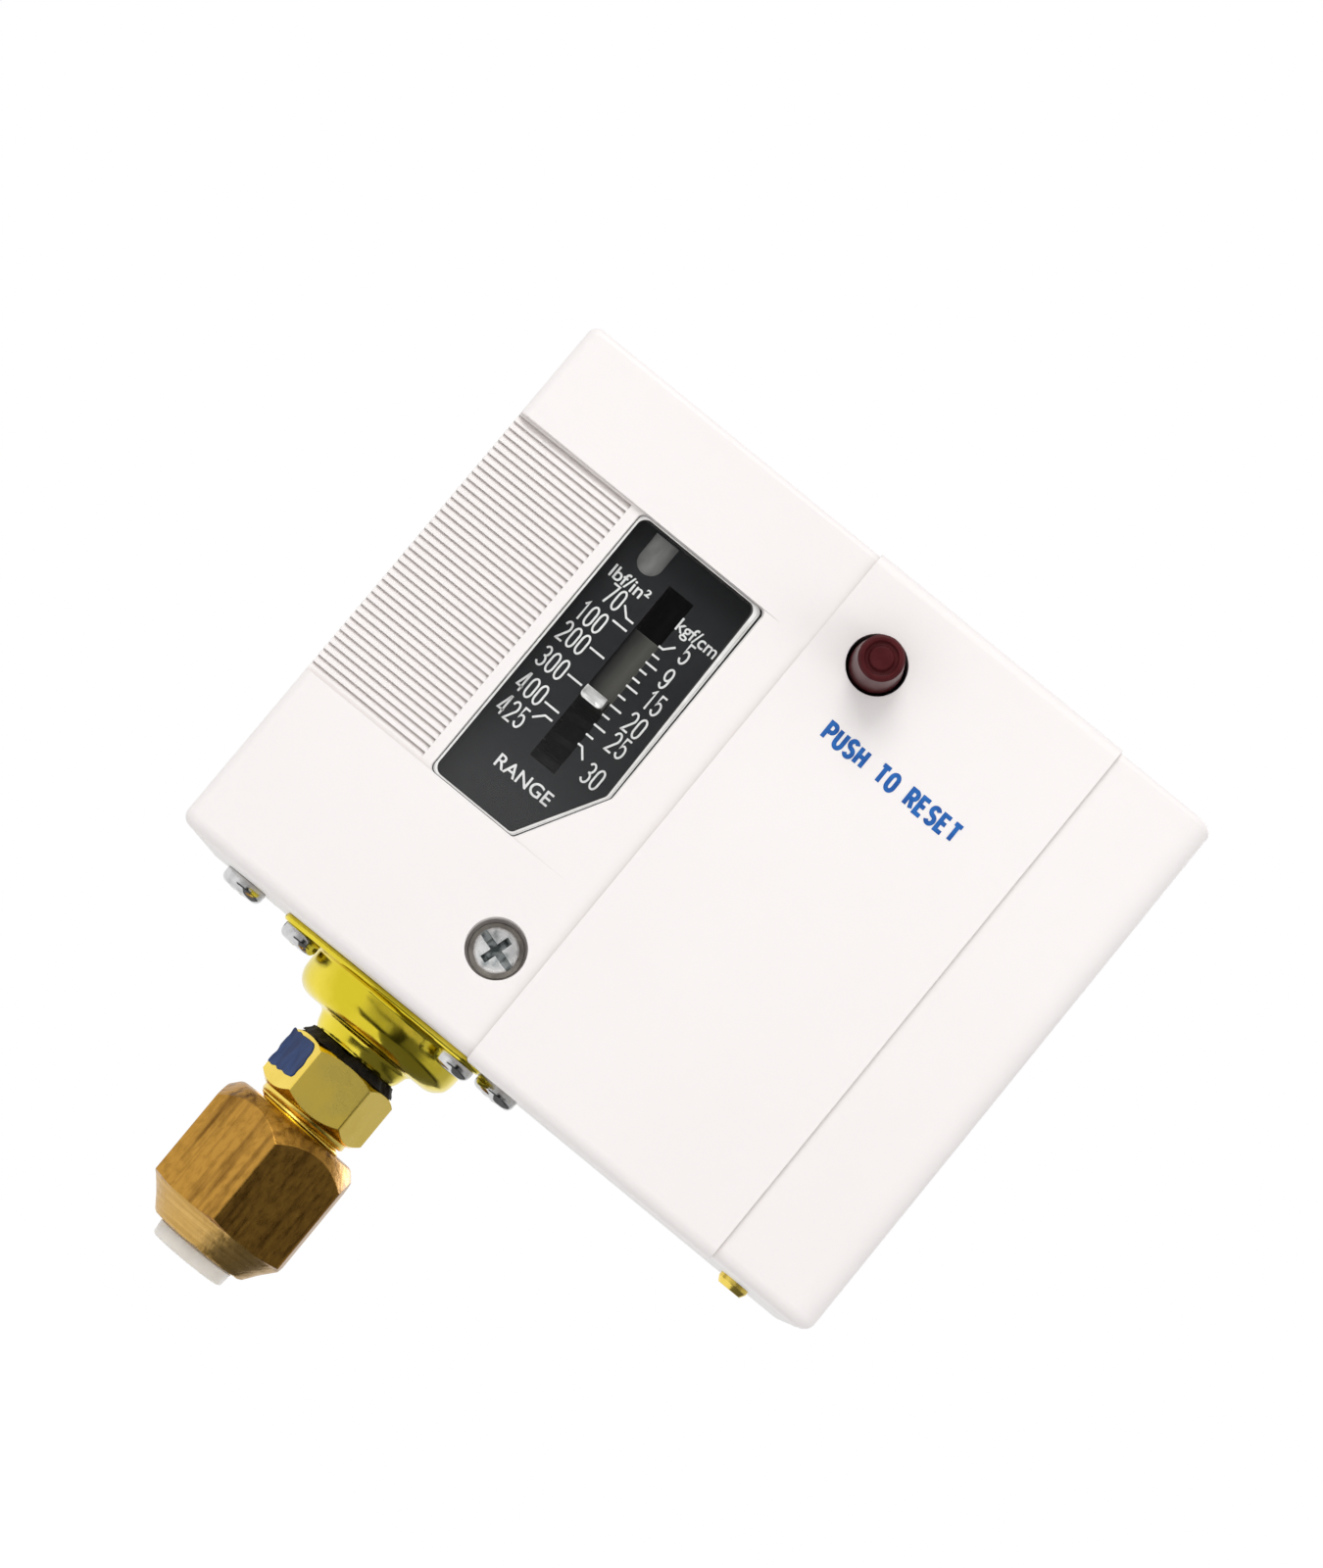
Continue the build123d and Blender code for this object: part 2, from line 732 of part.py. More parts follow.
# Lever pin, pressed into the chassis plate and its ear
pin_end = 0.5
with BuildPart() as lever_pin:
    rod((lever_pin_x, foot_front_y - pin_end, lever_z), chassis_back_y - foot_front_y + pin_end,
        lever_pin_radius, (0, 1, 0))
lever_pin.part.label = "lever_pin"
export_step(lever_pin.part, "parts/lever_pin.step")

# Push rod between the bellows and the lever
rod_base_radius = 4.5
rod_radius = 1.5
rod_base_z = bellows_top_z + moving_gap
rod_tip_z = lever_bottom_z - moving_gap
with BuildPart() as push_rod:
    with BuildSketch(pressure_plane):
        Polygon(
            (0, rod_base_z),
            (rod_base_radius, rod_base_z),
            (rod_base_radius, rod_base_z + 1.0),
            (rod_radius, rod_base_z + 1.6),
            (rod_radius, rod_tip_z - 0.8),
            (rod_radius * 0.6, rod_tip_z - 0.15),
            (0, rod_tip_z),
            align=None,
        )
    revolve(axis=pressure_axis)
push_rod.part.label = "push_rod"
export_step(push_rod.part, "parts/push_rod.step")

# Bellows, a folded thin metal tube closed at its top
fold_pitch = (bellows_top_z - bellows_end_wall - bellows_bottom_z) / (2 * bellows_folds)
outside_points = []
inside_points = []
for fold in range(2 * bellows_folds + 1):
    fold_z = bellows_bottom_z + fold * fold_pitch
    fold_radius = bellows_root_radius if fold % 2 == 0 else bellows_radius
    outside_points.append((fold_radius, fold_z))
    inside_points.append((fold_radius - bellows_sheet, fold_z))
with BuildPart() as bellows:
    with BuildSketch(pressure_plane):
        Polygon(
            *outside_points,
            (bellows_root_radius, bellows_top_z),
            (0, bellows_top_z),
            (0, bellows_top_z - bellows_end_wall),
            *reversed(inside_points),
            align=None,
        )
    revolve(axis=pressure_axis)
bellows.part.label = "bellows"
export_step(bellows.part, "parts/bellows.step")

# Bellows housing: three-lobed flange, drawn cup and neck in one pressing
flange_z = bottom_z - flange_thickness
with BuildPart() as bellows_housing:
    with BuildSketch(Plane.XY.offset(flange_z)):
        with Locations((pressure_x, pressure_y)):
            Circle(cup_radius + flange_rim)
        with Locations(*flange_screw_places):
            Circle(flange_lobe_radius)
        make_hull()
    extrude(amount=flange_thickness)
    with BuildSketch(pressure_plane):
        with BuildLine():
            Polyline(
                (0, bottom_z),
                (cup_radius, bottom_z),
                (cup_radius, cup_bottom_z + 2.4),
            )
            RadiusArc(
                (cup_radius, cup_bottom_z + 2.4),
                (cup_radius - 2.4, cup_bottom_z),
                2.4,
            )
            Polyline(
                (cup_radius - 2.4, cup_bottom_z),
                (neck_top_radius + 0.5, cup_bottom_z),
                (neck_top_radius, cup_bottom_z - 0.5),
                (neck_radius, neck_bottom_z),
                (0, neck_bottom_z),
                (0, bottom_z),
            )
        make_face()
    revolve(axis=pressure_axis)
    rod((pressure_x, pressure_y, bottom_z + cut_through), bottom_z - bellows_bottom_z + cut_through,
        cup_radius - cup_wall, (0, 0, -1), mode=Mode.SUBTRACT)
    rod((pressure_x, pressure_y, bottom_z), bottom_z - neck_bottom_z + cut_through, neck_bore_radius,
        (0, 0, -1), mode=Mode.SUBTRACT)
    for place in flange_screw_places:
        rod((place[0], place[1], flange_z - cut_through), flange_thickness + 2 * cut_through, m3_radius,
            (0, 0, 1), mode=Mode.SUBTRACT)
bellows_housing.part.label = "bellows_housing"
export_step(bellows_housing.part, "parts/bellows_housing.step")

# Three screws of the bellows housing
flange_screw = machine_screw(flange_screw_head, 1.6, m3_radius, flange_screw_length)
with BuildPart() as flange_screws:
    for place, angle in zip(flange_screw_places, flange_screw_angles):
        with Locations(Location((place[0], place[1], flange_z), (180, 0, angle))):
            add(flange_screw)
flange_screws.part.label = "flange_screws"
export_step(flange_screws.part, "parts/flange_screws.step")

# Sealant ring between the neck and the connector
with BuildPart() as seal_ring:
    with BuildSketch(pressure_plane):
        Polygon(
            (neck_bore_radius, neck_bottom_z),
            (neck_radius - 0.3, neck_bottom_z),
            (neck_radius, neck_bottom_z - seal_height * 0.3),
            (neck_radius + 0.1, neck_bottom_z - seal_height * 0.7),
            (neck_radius - 0.2, seal_bottom_z),
            (neck_bore_radius, seal_bottom_z),
            align=None,
        )
    revolve(axis=pressure_axis)
seal_ring.part.label = "seal_ring"
export_step(seal_ring.part, "parts/seal_ring.step")

# Flare connector: spigot in the neck, hexagon, thread and flare cone
hex_corner = hex_flats / math.sqrt(3)
spigot_clearance = 0.05
spigot_reach = 3.7
with BuildPart() as flare_connector:
    with BuildSketch(Plane(origin=(pressure_x, pressure_y, hex_bottom_z))):
        RegularPolygon(hex_flats / 2, 6, major_radius=False, rotation=hex_turn)
    extrude(amount=hex_height)
    with BuildSketch(pressure_plane):
        Polygon(
            (0, seal_bottom_z),
            (hex_corner - 0.15, seal_bottom_z),
            (hex_corner, seal_bottom_z - 0.3),
            (hex_corner, hex_bottom_z + 1.0),
            (hex_flats / 2, hex_bottom_z + 0.1),
            (hex_flats / 2 - 0.2, hex_bottom_z),
            (0, hex_bottom_z),
            align=None,
        )
    revolve(axis=pressure_axis, mode=Mode.INTERSECT)
    with BuildSketch(pressure_plane):
        Polygon(
            (0, hex_bottom_z + 1.0),
            (0, connector_bottom_z),
            (thread_radius - 2.6, connector_bottom_z),
            (thread_radius - 0.5, connector_bottom_z + 2.1),
            (thread_radius, connector_bottom_z + 2.6),
            (thread_radius, hex_bottom_z + 1.0),
            align=None,
        )
    revolve(axis=pressure_axis)
    rod((pressure_x, pressure_y, seal_bottom_z - 0.5), spigot_reach + 0.5,
        neck_bore_radius - spigot_clearance, (0, 0, 1))
    rod((pressure_x, pressure_y, seal_bottom_z + spigot_reach + cut_through),
        spigot_reach + hex_height + thread_length + 2 * cut_through, connector_bore_radius, (0, 0, -1),
        mode=Mode.SUBTRACT)
flare_connector.part.label = "flare_connector"
export_step(flare_connector.part, "parts/flare_connector.step")

# Flare nut, a long hexagon nut with a turned nose
nut_corner = nut_flats / math.sqrt(3)
nut_shoulder = 1.1
nut_bore_radius = thread_radius + running_clearance
nut_cone_top_z = connector_bottom_z + 1.2
nut_cone_bottom_z = connector_bottom_z - 1.2
with BuildPart() as flare_nut:
    with BuildSketch(Plane(origin=(pressure_x, pressure_y, nut_hex_bottom_z - nut_shoulder))):
        RegularPolygon(nut_flats / 2, 6, major_radius=False, rotation=nut_turn)
    extrude(amount=nut_hex_height + nut_shoulder)
    with BuildSketch(pressure_plane):
        Polygon(
            (0, nut_top_z),
            (nut_flats / 2 - 0.5, nut_top_z),
            (nut_flats / 2 + 0.2, nut_top_z - 0.45),
            (nut_corner, nut_top_z - 1.7),
            (nut_corner, nut_hex_bottom_z + 0.6),
            (nut_corner - 0.8, nut_hex_bottom_z - 0.4),
            (nut_flats / 2 - 0.2, nut_hex_bottom_z - nut_shoulder),
            (0, nut_hex_bottom_z - nut_shoulder),
            align=None,
        )
    revolve(axis=pressure_axis, mode=Mode.INTERSECT)
    with BuildSketch(pressure_plane):
        Polygon(
            (0, nut_hex_bottom_z),
            (nut_flats / 2 - 0.2, nut_hex_bottom_z - nut_shoulder),
            (nut_nose_radius + 1.6, nut_hex_bottom_z - nut_shoulder - 0.4),
            (nut_nose_radius + 0.5, nut_bottom_z + 0.7),
            (nut_nose_radius, nut_bottom_z),
            (0, nut_bottom_z),
            align=None,
        )
    revolve(axis=pressure_axis)
    with BuildSketch(pressure_plane):
        Polygon(
            (0, nut_top_z + cut_through),
            (nut_bore_radius, nut_top_z + cut_through),
            (nut_bore_radius, nut_cone_top_z),
            (tube_hole_radius, nut_cone_bottom_z),
            (tube_hole_radius, nut_bottom_z - cut_through),
            (0, nut_bottom_z - cut_through),
            align=None,
        )
    revolve(axis=pressure_axis, mode=Mode.SUBTRACT)
flare_nut.part.label = "flare_nut"
export_step(flare_nut.part, "parts/flare_nut.step")

# Dust plug pushed into the nose of the nut
plug_top_z = connector_bottom_z - 0.9
with BuildPart() as nut_plug:
    with BuildSketch(pressure_plane):
        Polygon(
            (0, plug_top_z),
            (plug_stem_radius - 0.4, plug_top_z),
            (plug_stem_radius, plug_top_z - 0.5),
            (plug_stem_radius, nut_bottom_z),
            (plug_radius, nut_bottom_z),
            (plug_radius, plug_bottom_z + 0.3),
            (plug_radius - 0.3, plug_bottom_z),
            (0, plug_bottom_z),
            align=None,
        )
    revolve(axis=pressure_axis)
nut_plug.part.label = "nut_plug"
export_step(nut_plug.part, "parts/nut_plug.step")

# Snap switch body, moulded, screwed to the chassis plate
cheek_front_y = reset_pin_y - cheek_depth / 2
cheek_back_y = reset_pin_y + cheek_depth / 2
cheek_outside = cheek_gap + cheek_thickness
with BuildPart() as switch_body:
    slab(switch_left, switch_right, switch_front_y, chassis_plate_y, switch_bottom, switch_top)
    # Two cheeks on top carry the reset lever's pin.
    for cheek_x in (button_x - cheek_outside, button_x + cheek_gap):
        slab(cheek_x, cheek_x + cheek_thickness, cheek_front_y, cheek_back_y, switch_top, reset_pin_z + 2.4)
    slab(button_x - cheek_gap, button_x + cheek_gap, cheek_front_y, cheek_back_y, switch_top - 4.0,
         switch_top + cut_through, mode=Mode.SUBTRACT)
    rod((button_x - 2 * cheek_outside, reset_pin_y, reset_pin_z), 4 * cheek_outside, reset_pin_radius,
        (1, 0, 0), mode=Mode.SUBTRACT)
    rod((plunger_x, pressure_y, switch_bottom - cut_through), 4.6 + cut_through,
        plunger_radius + fit_clearance, (0, 0, 1), mode=Mode.SUBTRACT)
    # Terminal pockets in the front face, open at the bottom for the wires
    for place in terminal_places:
        slab(
            place - pocket_width / 2,
            place + pocket_width / 2,
            switch_front_y - cut_through,
            switch_front_y + pocket_depth,
            switch_bottom - cut_through,
            terminal_z + 4.2,
            mode=Mode.SUBTRACT,
        )
        rod((place, switch_front_y, terminal_z), terminal_hole_depth, m3_radius, (0, 1, 0),
            mode=Mode.SUBTRACT)
    for screw_x, screw_z in switch_screw_places:
        rod((screw_x, switch_front_y - cut_through, screw_z), switch_depth + 2 * cut_through, m3_radius,
            (0, 1, 0), mode=Mode.SUBTRACT)
    # A relief in the back leaves room for the end of a mounting screw.
    rod((mount_places[1], chassis_plate_y + cut_through, 0), 3.5 + cut_through, m4_radius + 1.0,
        (0, -1, 0), mode=Mode.SUBTRACT)
switch_body.part.label = "switch_body"
export_step(switch_body.part, "parts/switch_body.step")

# Two long screws that hold the switch body to the chassis
switch_screw = machine_screw(m3_head_radius, 1.8, m3_radius, chassis_back_y - switch_front_y)
with BuildPart() as switch_screws:
    for screw_x, screw_z in switch_screw_places:
        with Locations(Location((screw_x, switch_front_y, screw_z), (90, 0, 0))):
            add(switch_screw)
switch_screws.part.label = "switch_screws"
export_step(switch_screws.part, "parts/switch_screws.step")

# Switch plunger above the end of the lever
plunger_tip = lever_top_z + moving_gap
plunger_top = switch_bottom + 3.4
plunger_plane = Plane(origin=(plunger_x, pressure_y, 0), x_dir=(1, 0, 0), z_dir=(0, -1, 0))
with BuildPart() as switch_plunger:
    with BuildSketch(plunger_plane):
        Polygon(
            (0, plunger_tip),
            (plunger_radius - 0.7, plunger_tip),
            (plunger_radius, plunger_tip + 0.8),
            (plunger_radius, plunger_top),
            (0, plunger_top),
            align=None,
        )
    revolve(axis=Axis((plunger_x, pressure_y, 0), (0, 0, 1)))
switch_plunger.part.label = "switch_plunger"
export_step(switch_plunger.part, "parts/switch_plunger.step")

# Three terminal plates in the pockets of the switch body
terminal_plate_width = pocket_width - 0.6
terminal_plate_thickness = 1.0
terminal_plate_y = switch_front_y + pocket_depth - terminal_plate_thickness
with BuildPart() as terminal_plates:
    for place in terminal_places:
        slab(
            place - terminal_plate_width / 2,
            place + terminal_plate_width / 2,
            terminal_plate_y,
            terminal_plate_y + terminal_plate_thickness,
            switch_bottom + 0.4,
            terminal_z + 3.6,
        )
        rod((place, switch_front_y, terminal_z), terminal_hole_depth, m3_radius, (0, 1, 0),
            mode=Mode.SUBTRACT)
terminal_plates.part.label = "terminal_plates"
export_step(terminal_plates.part, "parts/terminal_plates.step")

# Three terminal screws
terminal_screw = machine_screw(2.9, 1.9, m3_radius, 6.0)
with BuildPart() as terminal_screws:
    for place in terminal_places:
        with Locations(Location((place, terminal_plate_y, terminal_z), (90, 0, 0))):
            add(terminal_screw)
terminal_screws.part.label = "terminal_screws"
export_step(terminal_screws.part, "parts/terminal_screws.step")

# Earth nut on the bottom of the case, the square clamp washer on it and the earth screw
earth_nut_height = 1.6
earth_washer_side = 8.0
earth_washer_thickness = 1.0
earth_washer_z = floor_z + earth_nut_height
earth_head_z = earth_washer_z + earth_washer_thickness
earth_screw_length = earth_head_z - bottom_z + 1.1
with BuildPart() as earth_screw:
    with Locations(Location((earth_x, earth_y, earth_head_z))):
        add(machine_screw(3.6, 2.4, earth_radius, earth_screw_length))
earth_screw.part.label = "earth_screw"
export_step(earth_screw.part, "parts/earth_screw.step")

with BuildPart() as earth_washer:
    with BuildSketch(Plane(origin=(earth_x, earth_y, earth_washer_z))):
        Rectangle(earth_washer_side, earth_washer_side)
        Circle(earth_radius, mode=Mode.SUBTRACT)
    extrude(amount=earth_washer_thickness)
earth_washer.part.label = "earth_washer"
export_step(earth_washer.part, "parts/earth_washer.step")

with BuildPart() as earth_nut:
    with BuildSketch(Plane(origin=(earth_x, earth_y, floor_z))):
        RegularPolygon(3.5, 6, major_radius=False)
        Circle(earth_radius, mode=Mode.SUBTRACT)
    extrude(amount=earth_nut_height)
earth_nut.part.label = "earth_nut"
export_step(earth_nut.part, "parts/earth_nut.step")

# Cable bush in the right wall, flush with the outside of the case
bush_length = case_wall + bush_rim_thickness
with BuildPart() as cable_bush:
    rod((half_width, bush_y, bush_z), case_wall, bush_radius, (-1, 0, 0))
    rod((half_width - case_wall, bush_y, bush_z), bush_rim_thickness, bush_radius + bush_rim, (-1, 0, 0))
    rod((half_width + cut_through, bush_y, bush_z), bush_length + 2 * cut_through, bush_bore_radius,
        (-1, 0, 0), mode=Mode.SUBTRACT)
cable_bush.part.label = "cable_bush"
export_step(cable_bush.part, "parts/cable_bush.step")

# Reset button: long tapered cap with a ringed end and a long stem, in one moulding
cap_front_y = front_y - band_raise - button_stand
cap_ring_radius = 1.7
cap_ring_depth = 0.35
stem_tip_y = reset_pin_y - reset_lever_thickness / 2 - reset_free_play
button_plane = Plane(origin=(button_x, 0, button_z), x_dir=(1, 0, 0), z_dir=(0, 0, 1))
button_axis = Axis((button_x, 0, button_z), (0, 1, 0))
with BuildPart() as reset_button:
    with BuildSketch(button_plane):
        Polygon(
            (0, cap_front_y),
            (cap_ring_radius - 0.5, cap_front_y),
            (cap_ring_radius - 0.3, cap_front_y + cap_ring_depth),
            (cap_ring_radius, cap_front_y + cap_ring_depth),
            (cap_ring_radius + 0.15, cap_front_y),
            (button_tip_radius - 0.25, cap_front_y),
            (button_tip_radius, cap_front_y + 0.25),
            (button_radius, front_y),
            (button_radius, button_shoulder_y),
            (stem_radius, button_shoulder_y),
            (stem_radius, stem_tip_y - 0.8),
            (stem_radius * 0.4, stem_tip_y),
            (0, stem_tip_y),
            align=None,
        )
    revolve(axis=button_axis)
reset_button.part.label = "reset_button"
export_step(reset_button.part, "parts/reset_button.step")

# Push-on clip that keeps the button in its guide
clip_radius = 2.9
clip_thickness = 0.7
clip_front_y = guide_floor_y + guide_floor + moving_gap
with BuildPart() as button_clip:
    with BuildSketch(Plane.XZ.offset(-clip_front_y)):
        with Locations((button_x, button_z)):
            Circle(clip_radius)
            Circle(stem_radius, mode=Mode.SUBTRACT)
    extrude(amount=-clip_thickness)
button_clip.part.label = "button_clip"
export_step(button_clip.part, "parts/button_clip.step")

# Reset spring inside the guide
reset_wire = 0.5
reset_spring_radius = 2.3
reset_spring_turns = 6
reset_low_y = button_shoulder_y + reset_wire / 2 + running_clearance
reset_high_y = guide_floor_y - reset_wire / 2 - running_clearance
with BuildPart() as reset_spring:
    with BuildLine() as reset_coil:
        Helix(
            pitch=(reset_high_y - reset_low_y) / reset_spring_turns,
            height=reset_high_y - reset_low_y,
            radius=reset_spring_radius,
            center=(button_x, reset_low_y, button_z),
            direction=(0, 1, 0),
        )
    with BuildSketch(Plane(origin=reset_coil.line @ 0, z_dir=reset_coil.line % 0)):
        RegularPolygon(reset_wire / 2, 4)
    sweep(path=reset_coil.line, is_frenet=True)
reset_spring.part.label = "reset_spring"
export_step(reset_spring.part, "parts/reset_spring.step")

# Reset lever that the button's stem pushes back
with BuildPart() as reset_lever:
    slab(
        button_x - reset_lever_half_width,
        button_x + reset_lever_half_width,
        reset_pin_y - reset_lever_thickness / 2,
        reset_pin_y + reset_lever_thickness / 2,
        switch_top - 2.6,
        button_z + 2.0,
    )
    rod((button_x - reset_lever_half_width, reset_pin_y, reset_pin_z), 2 * reset_lever_half_width,
        reset_pin_radius + 1.1, (1, 0, 0))
    rod((button_x - 2 * reset_lever_half_width, reset_pin_y, reset_pin_z), 4 * reset_lever_half_width,
        reset_pin_radius + running_clearance, (1, 0, 0), mode=Mode.SUBTRACT)
reset_lever.part.label = "reset_lever"
export_step(reset_lever.part, "parts/reset_lever.step")

# Pin of the reset lever
with BuildPart() as reset_pin:
    rod((button_x - cheek_outside - 0.3, reset_pin_y, reset_pin_z), 2 * cheek_outside + 0.6,
        reset_pin_radius, (1, 0, 0))
reset_pin.part.label = "reset_pin"
export_step(reset_pin.part, "parts/reset_pin.step")
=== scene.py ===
import math

import bmesh
import bpy
from mathutils import Matrix, Vector, noise


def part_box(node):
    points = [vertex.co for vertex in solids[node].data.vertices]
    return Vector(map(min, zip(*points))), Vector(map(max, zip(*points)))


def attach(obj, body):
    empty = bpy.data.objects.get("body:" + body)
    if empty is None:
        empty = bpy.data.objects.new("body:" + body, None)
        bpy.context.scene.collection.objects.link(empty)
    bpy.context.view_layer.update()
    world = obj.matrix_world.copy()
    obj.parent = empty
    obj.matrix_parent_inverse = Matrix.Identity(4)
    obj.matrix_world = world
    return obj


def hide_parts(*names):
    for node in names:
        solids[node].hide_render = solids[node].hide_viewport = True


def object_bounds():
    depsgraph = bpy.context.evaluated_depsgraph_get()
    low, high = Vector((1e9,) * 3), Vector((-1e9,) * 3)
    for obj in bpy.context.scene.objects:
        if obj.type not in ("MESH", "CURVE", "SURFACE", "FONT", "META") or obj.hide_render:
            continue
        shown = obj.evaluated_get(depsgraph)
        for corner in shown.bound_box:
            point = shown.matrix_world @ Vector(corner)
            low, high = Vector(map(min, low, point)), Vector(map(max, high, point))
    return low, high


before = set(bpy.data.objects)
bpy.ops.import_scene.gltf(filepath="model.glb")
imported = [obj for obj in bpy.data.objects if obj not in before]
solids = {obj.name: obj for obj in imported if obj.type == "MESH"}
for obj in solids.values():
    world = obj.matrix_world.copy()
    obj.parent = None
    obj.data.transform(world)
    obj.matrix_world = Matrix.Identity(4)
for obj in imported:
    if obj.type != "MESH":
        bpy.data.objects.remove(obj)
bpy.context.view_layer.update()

# The rear case: a deep box pressed from steel sheet and enamelled in a pale grey white.
# The enamel has the faint orange peel of a sprayed coat and is a little glossier than
# the moulded cover in front of it.
enamel_colour = (0.80, 0.775, 0.765, 1)
enamel_roughness = 0.32
enamel_peel_size = 900
enamel_peel_depth = 0.00003
case_edge_radius = 0.0003


def new_finish(name, colour, roughness, metal=0.0):
    """A finish with its own shader, and the node tree that its grain and wear go into."""
    finish = bpy.data.materials.new(name)
    finish.use_nodes = True
    tree = finish.node_tree
    shader = tree.nodes["Principled BSDF"]
    shader.inputs["Base Color"].default_value = colour
    shader.inputs["Roughness"].default_value = roughness
    shader.inputs["Metallic"].default_value = metal
    return finish, tree, shader


def fine_noise(tree, size, detail=3.0, stretch=(1, 1, 1)):
    """Noise that lies on the piece itself, finer as size grows, longer where stretch is small."""
    place = tree.nodes.new("ShaderNodeTexCoord")
    spread = tree.nodes.new("ShaderNodeMapping")
    spread.inputs["Scale"].default_value = stretch
    grain = tree.nodes.new("ShaderNodeTexNoise")
    grain.inputs["Scale"].default_value = size
    grain.inputs["Detail"].default_value = detail
    tree.links.new(place.outputs["Object"], spread.inputs["Vector"])
    tree.links.new(spread.outputs["Vector"], grain.inputs["Vector"])
    return grain.outputs["Fac"]


def between(tree, factor, low, high, start=0.3, end=0.7):
    """Runs a colour from low to high as the factor goes from start to end."""
    ramp = tree.nodes.new("ShaderNodeValToRGB")
    ramp.color_ramp.elements[0].position = start
    ramp.color_ramp.elements[0].color = low
    ramp.color_ramp.elements[1].position = end
    ramp.color_ramp.elements[1].color = high
    tree.links.new(factor, ramp.inputs["Fac"])
    return ramp.outputs["Color"]


def shade(tree, shader, factor, low, high, start=0.3, end=0.7):
    """Lets the surface's colour drift between two tones."""
    tree.links.new(between(tree, factor, low, high, start, end), shader.inputs["Base Color"])


def gloss(tree, shader, factor, low, high, start=0.3, end=0.7):
    """Lets the surface's roughness drift between two values."""
    low_grey = (low, low, low, 1)
    high_grey = (high, high, high, 1)
    tree.links.new(
        between(tree, factor, low_grey, high_grey, start, end), shader.inputs["Roughness"]
    )


def relief(tree, shader, factor, depth, edge=0.0):
    """Raises the surface by the factor, and rounds its edges by the given radius."""
    bump = tree.nodes.new("ShaderNodeBump")
    bump.inputs["Strength"].default_value = 1.0
    bump.inputs["Distance"].default_value = depth
    tree.links.new(factor, bump.inputs["Height"])
    if edge:
        rounding = tree.nodes.new("ShaderNodeBevel")
        rounding.samples = 6
        rounding.inputs["Radius"].default_value = edge
        tree.links.new(rounding.outputs["Normal"], bump.inputs["Normal"])
    tree.links.new(bump.outputs["Normal"], shader.inputs["Normal"])


def dress(name, finish):
    """Gives a finish to a solid of the frame."""
    solid = solids[name]
    if not solid.material_slots:
        solid.data.materials.append(finish)
    for place in solid.material_slots:
        place.material = finish


enamel, tree, shader = new_finish("case_enamel", enamel_colour, enamel_roughness)
peel = fine_noise(tree, enamel_peel_size, 2.0)
relief(tree, shader, peel, enamel_peel_depth, edge=case_edge_radius)
cloud = fine_noise(tree, 25, 4.0)
shade(tree, shader, cloud, (0.78, 0.755, 0.745, 1), (0.815, 0.79, 0.78, 1))
gloss(tree, shader, cloud, 0.28, 0.38)
dress("rear_case", enamel)

# The works inside: zinc-plated steel, cut and bent, with the faint cloudiness of its plating. The
# springs, the range ring and the button's clip are oiled dark steel, painted near black so that they
# also carry painted shade for the inside of the case.
zinc_light = (0.62, 0.63, 0.64, 1)
zinc_dark = (0.45, 0.46, 0.47, 1)
zinc, tree, shader = new_finish("zinc_steel", zinc_light, 0.28, metal=1.0)
clouds = fine_noise(tree, 350, 4.0)
shade(tree, shader, clouds, zinc_dark, zinc_light)
gloss(tree, shader, clouds, 0.20, 0.36)
relief(tree, shader, fine_noise(tree, 2500, 2.0), 0.00001, edge=0.00012)
for name in (
    "plate_screws", "spring_seat", "main_lever", "lever_pin", "switch_screws", "terminal_screws",
    "reset_lever", "reset_pin",
):
    dress(name, zinc)

dull_zinc, tree, shader = new_finish("dull_zinc", (0.5, 0.5, 0.5, 1), 0.45, metal=0.35)
clouds = fine_noise(tree, 260, 4.0)
shade(tree, shader, clouds, (0.40, 0.40, 0.39, 1), (0.56, 0.56, 0.54, 1))
gloss(tree, shader, clouds, 0.38, 0.55)
relief(tree, shader, fine_noise(tree, 2000, 2.0), 0.00001, edge=0.00012)
dress("chassis", dull_zinc)

# Painted shade: this near-black tone also stands in for the shade inside the case, where the spring and
# screw show through the slot.
dark_steel, tree, shader = new_finish("dark_spring_steel", (0.03, 0.03, 0.032, 1), 0.5, metal=0.4)
oil_and_shade_mottle = fine_noise(tree, 600, 3.0)
shade(tree, shader, oil_and_shade_mottle, (0.018, 0.018, 0.020, 1), (0.045, 0.045, 0.048, 1))
gloss(tree, shader, oil_and_shade_mottle, 0.42, 0.6)
for name in ("range_screw", "range_spring", "range_ring", "button_clip", "reset_spring"):
    dress(name, dark_steel)

# The snap switch: dark phenolic moulding with brass terminal plates, and beside it the
# brass earth screw. The cable comes in through a black rubber bush in the right wall.
phenolic, tree, shader = new_finish("bakelite", (0.035, 0.025, 0.02, 1), 0.35)
fleck = fine_noise(tree, 1200, 3.0)
shade(tree, shader, fleck, (0.025, 0.018, 0.015, 1), (0.05, 0.036, 0.028, 1))
relief(tree, shader, fleck, 0.00001, edge=0.0003)
dress("switch_body", phenolic)

bright_brass, tree, shader = new_finish("bright_brass", (0.80, 0.62, 0.16, 1), 0.2, metal=1.0)
clouds = fine_noise(tree, 300, 3.0)
shade(tree, shader, clouds, (0.84, 0.61, 0.10, 1), (0.94, 0.72, 0.15, 1))
gloss(tree, shader, clouds, 0.16, 0.30)
relief(tree, shader, fine_noise(tree, 1500, 2.0), 0.00001, edge=0.00015)
for name in (
    "push_rod", "terminal_plates", "earth_screw", "earth_washer", "earth_nut", "bellows",
):
    dress(name, bright_brass)

rubber, tree, shader = new_finish("black_rubber", (0.02, 0.02, 0.02, 1), 0.6)
dust = fine_noise(tree, 800, 3.0)
shade(tree, shader, dust, (0.015, 0.015, 0.015, 1), (0.03, 0.03, 0.03, 1))
relief(tree, shader, dust, 0.00002, edge=0.0003)
dress("cable_bush", rubber)
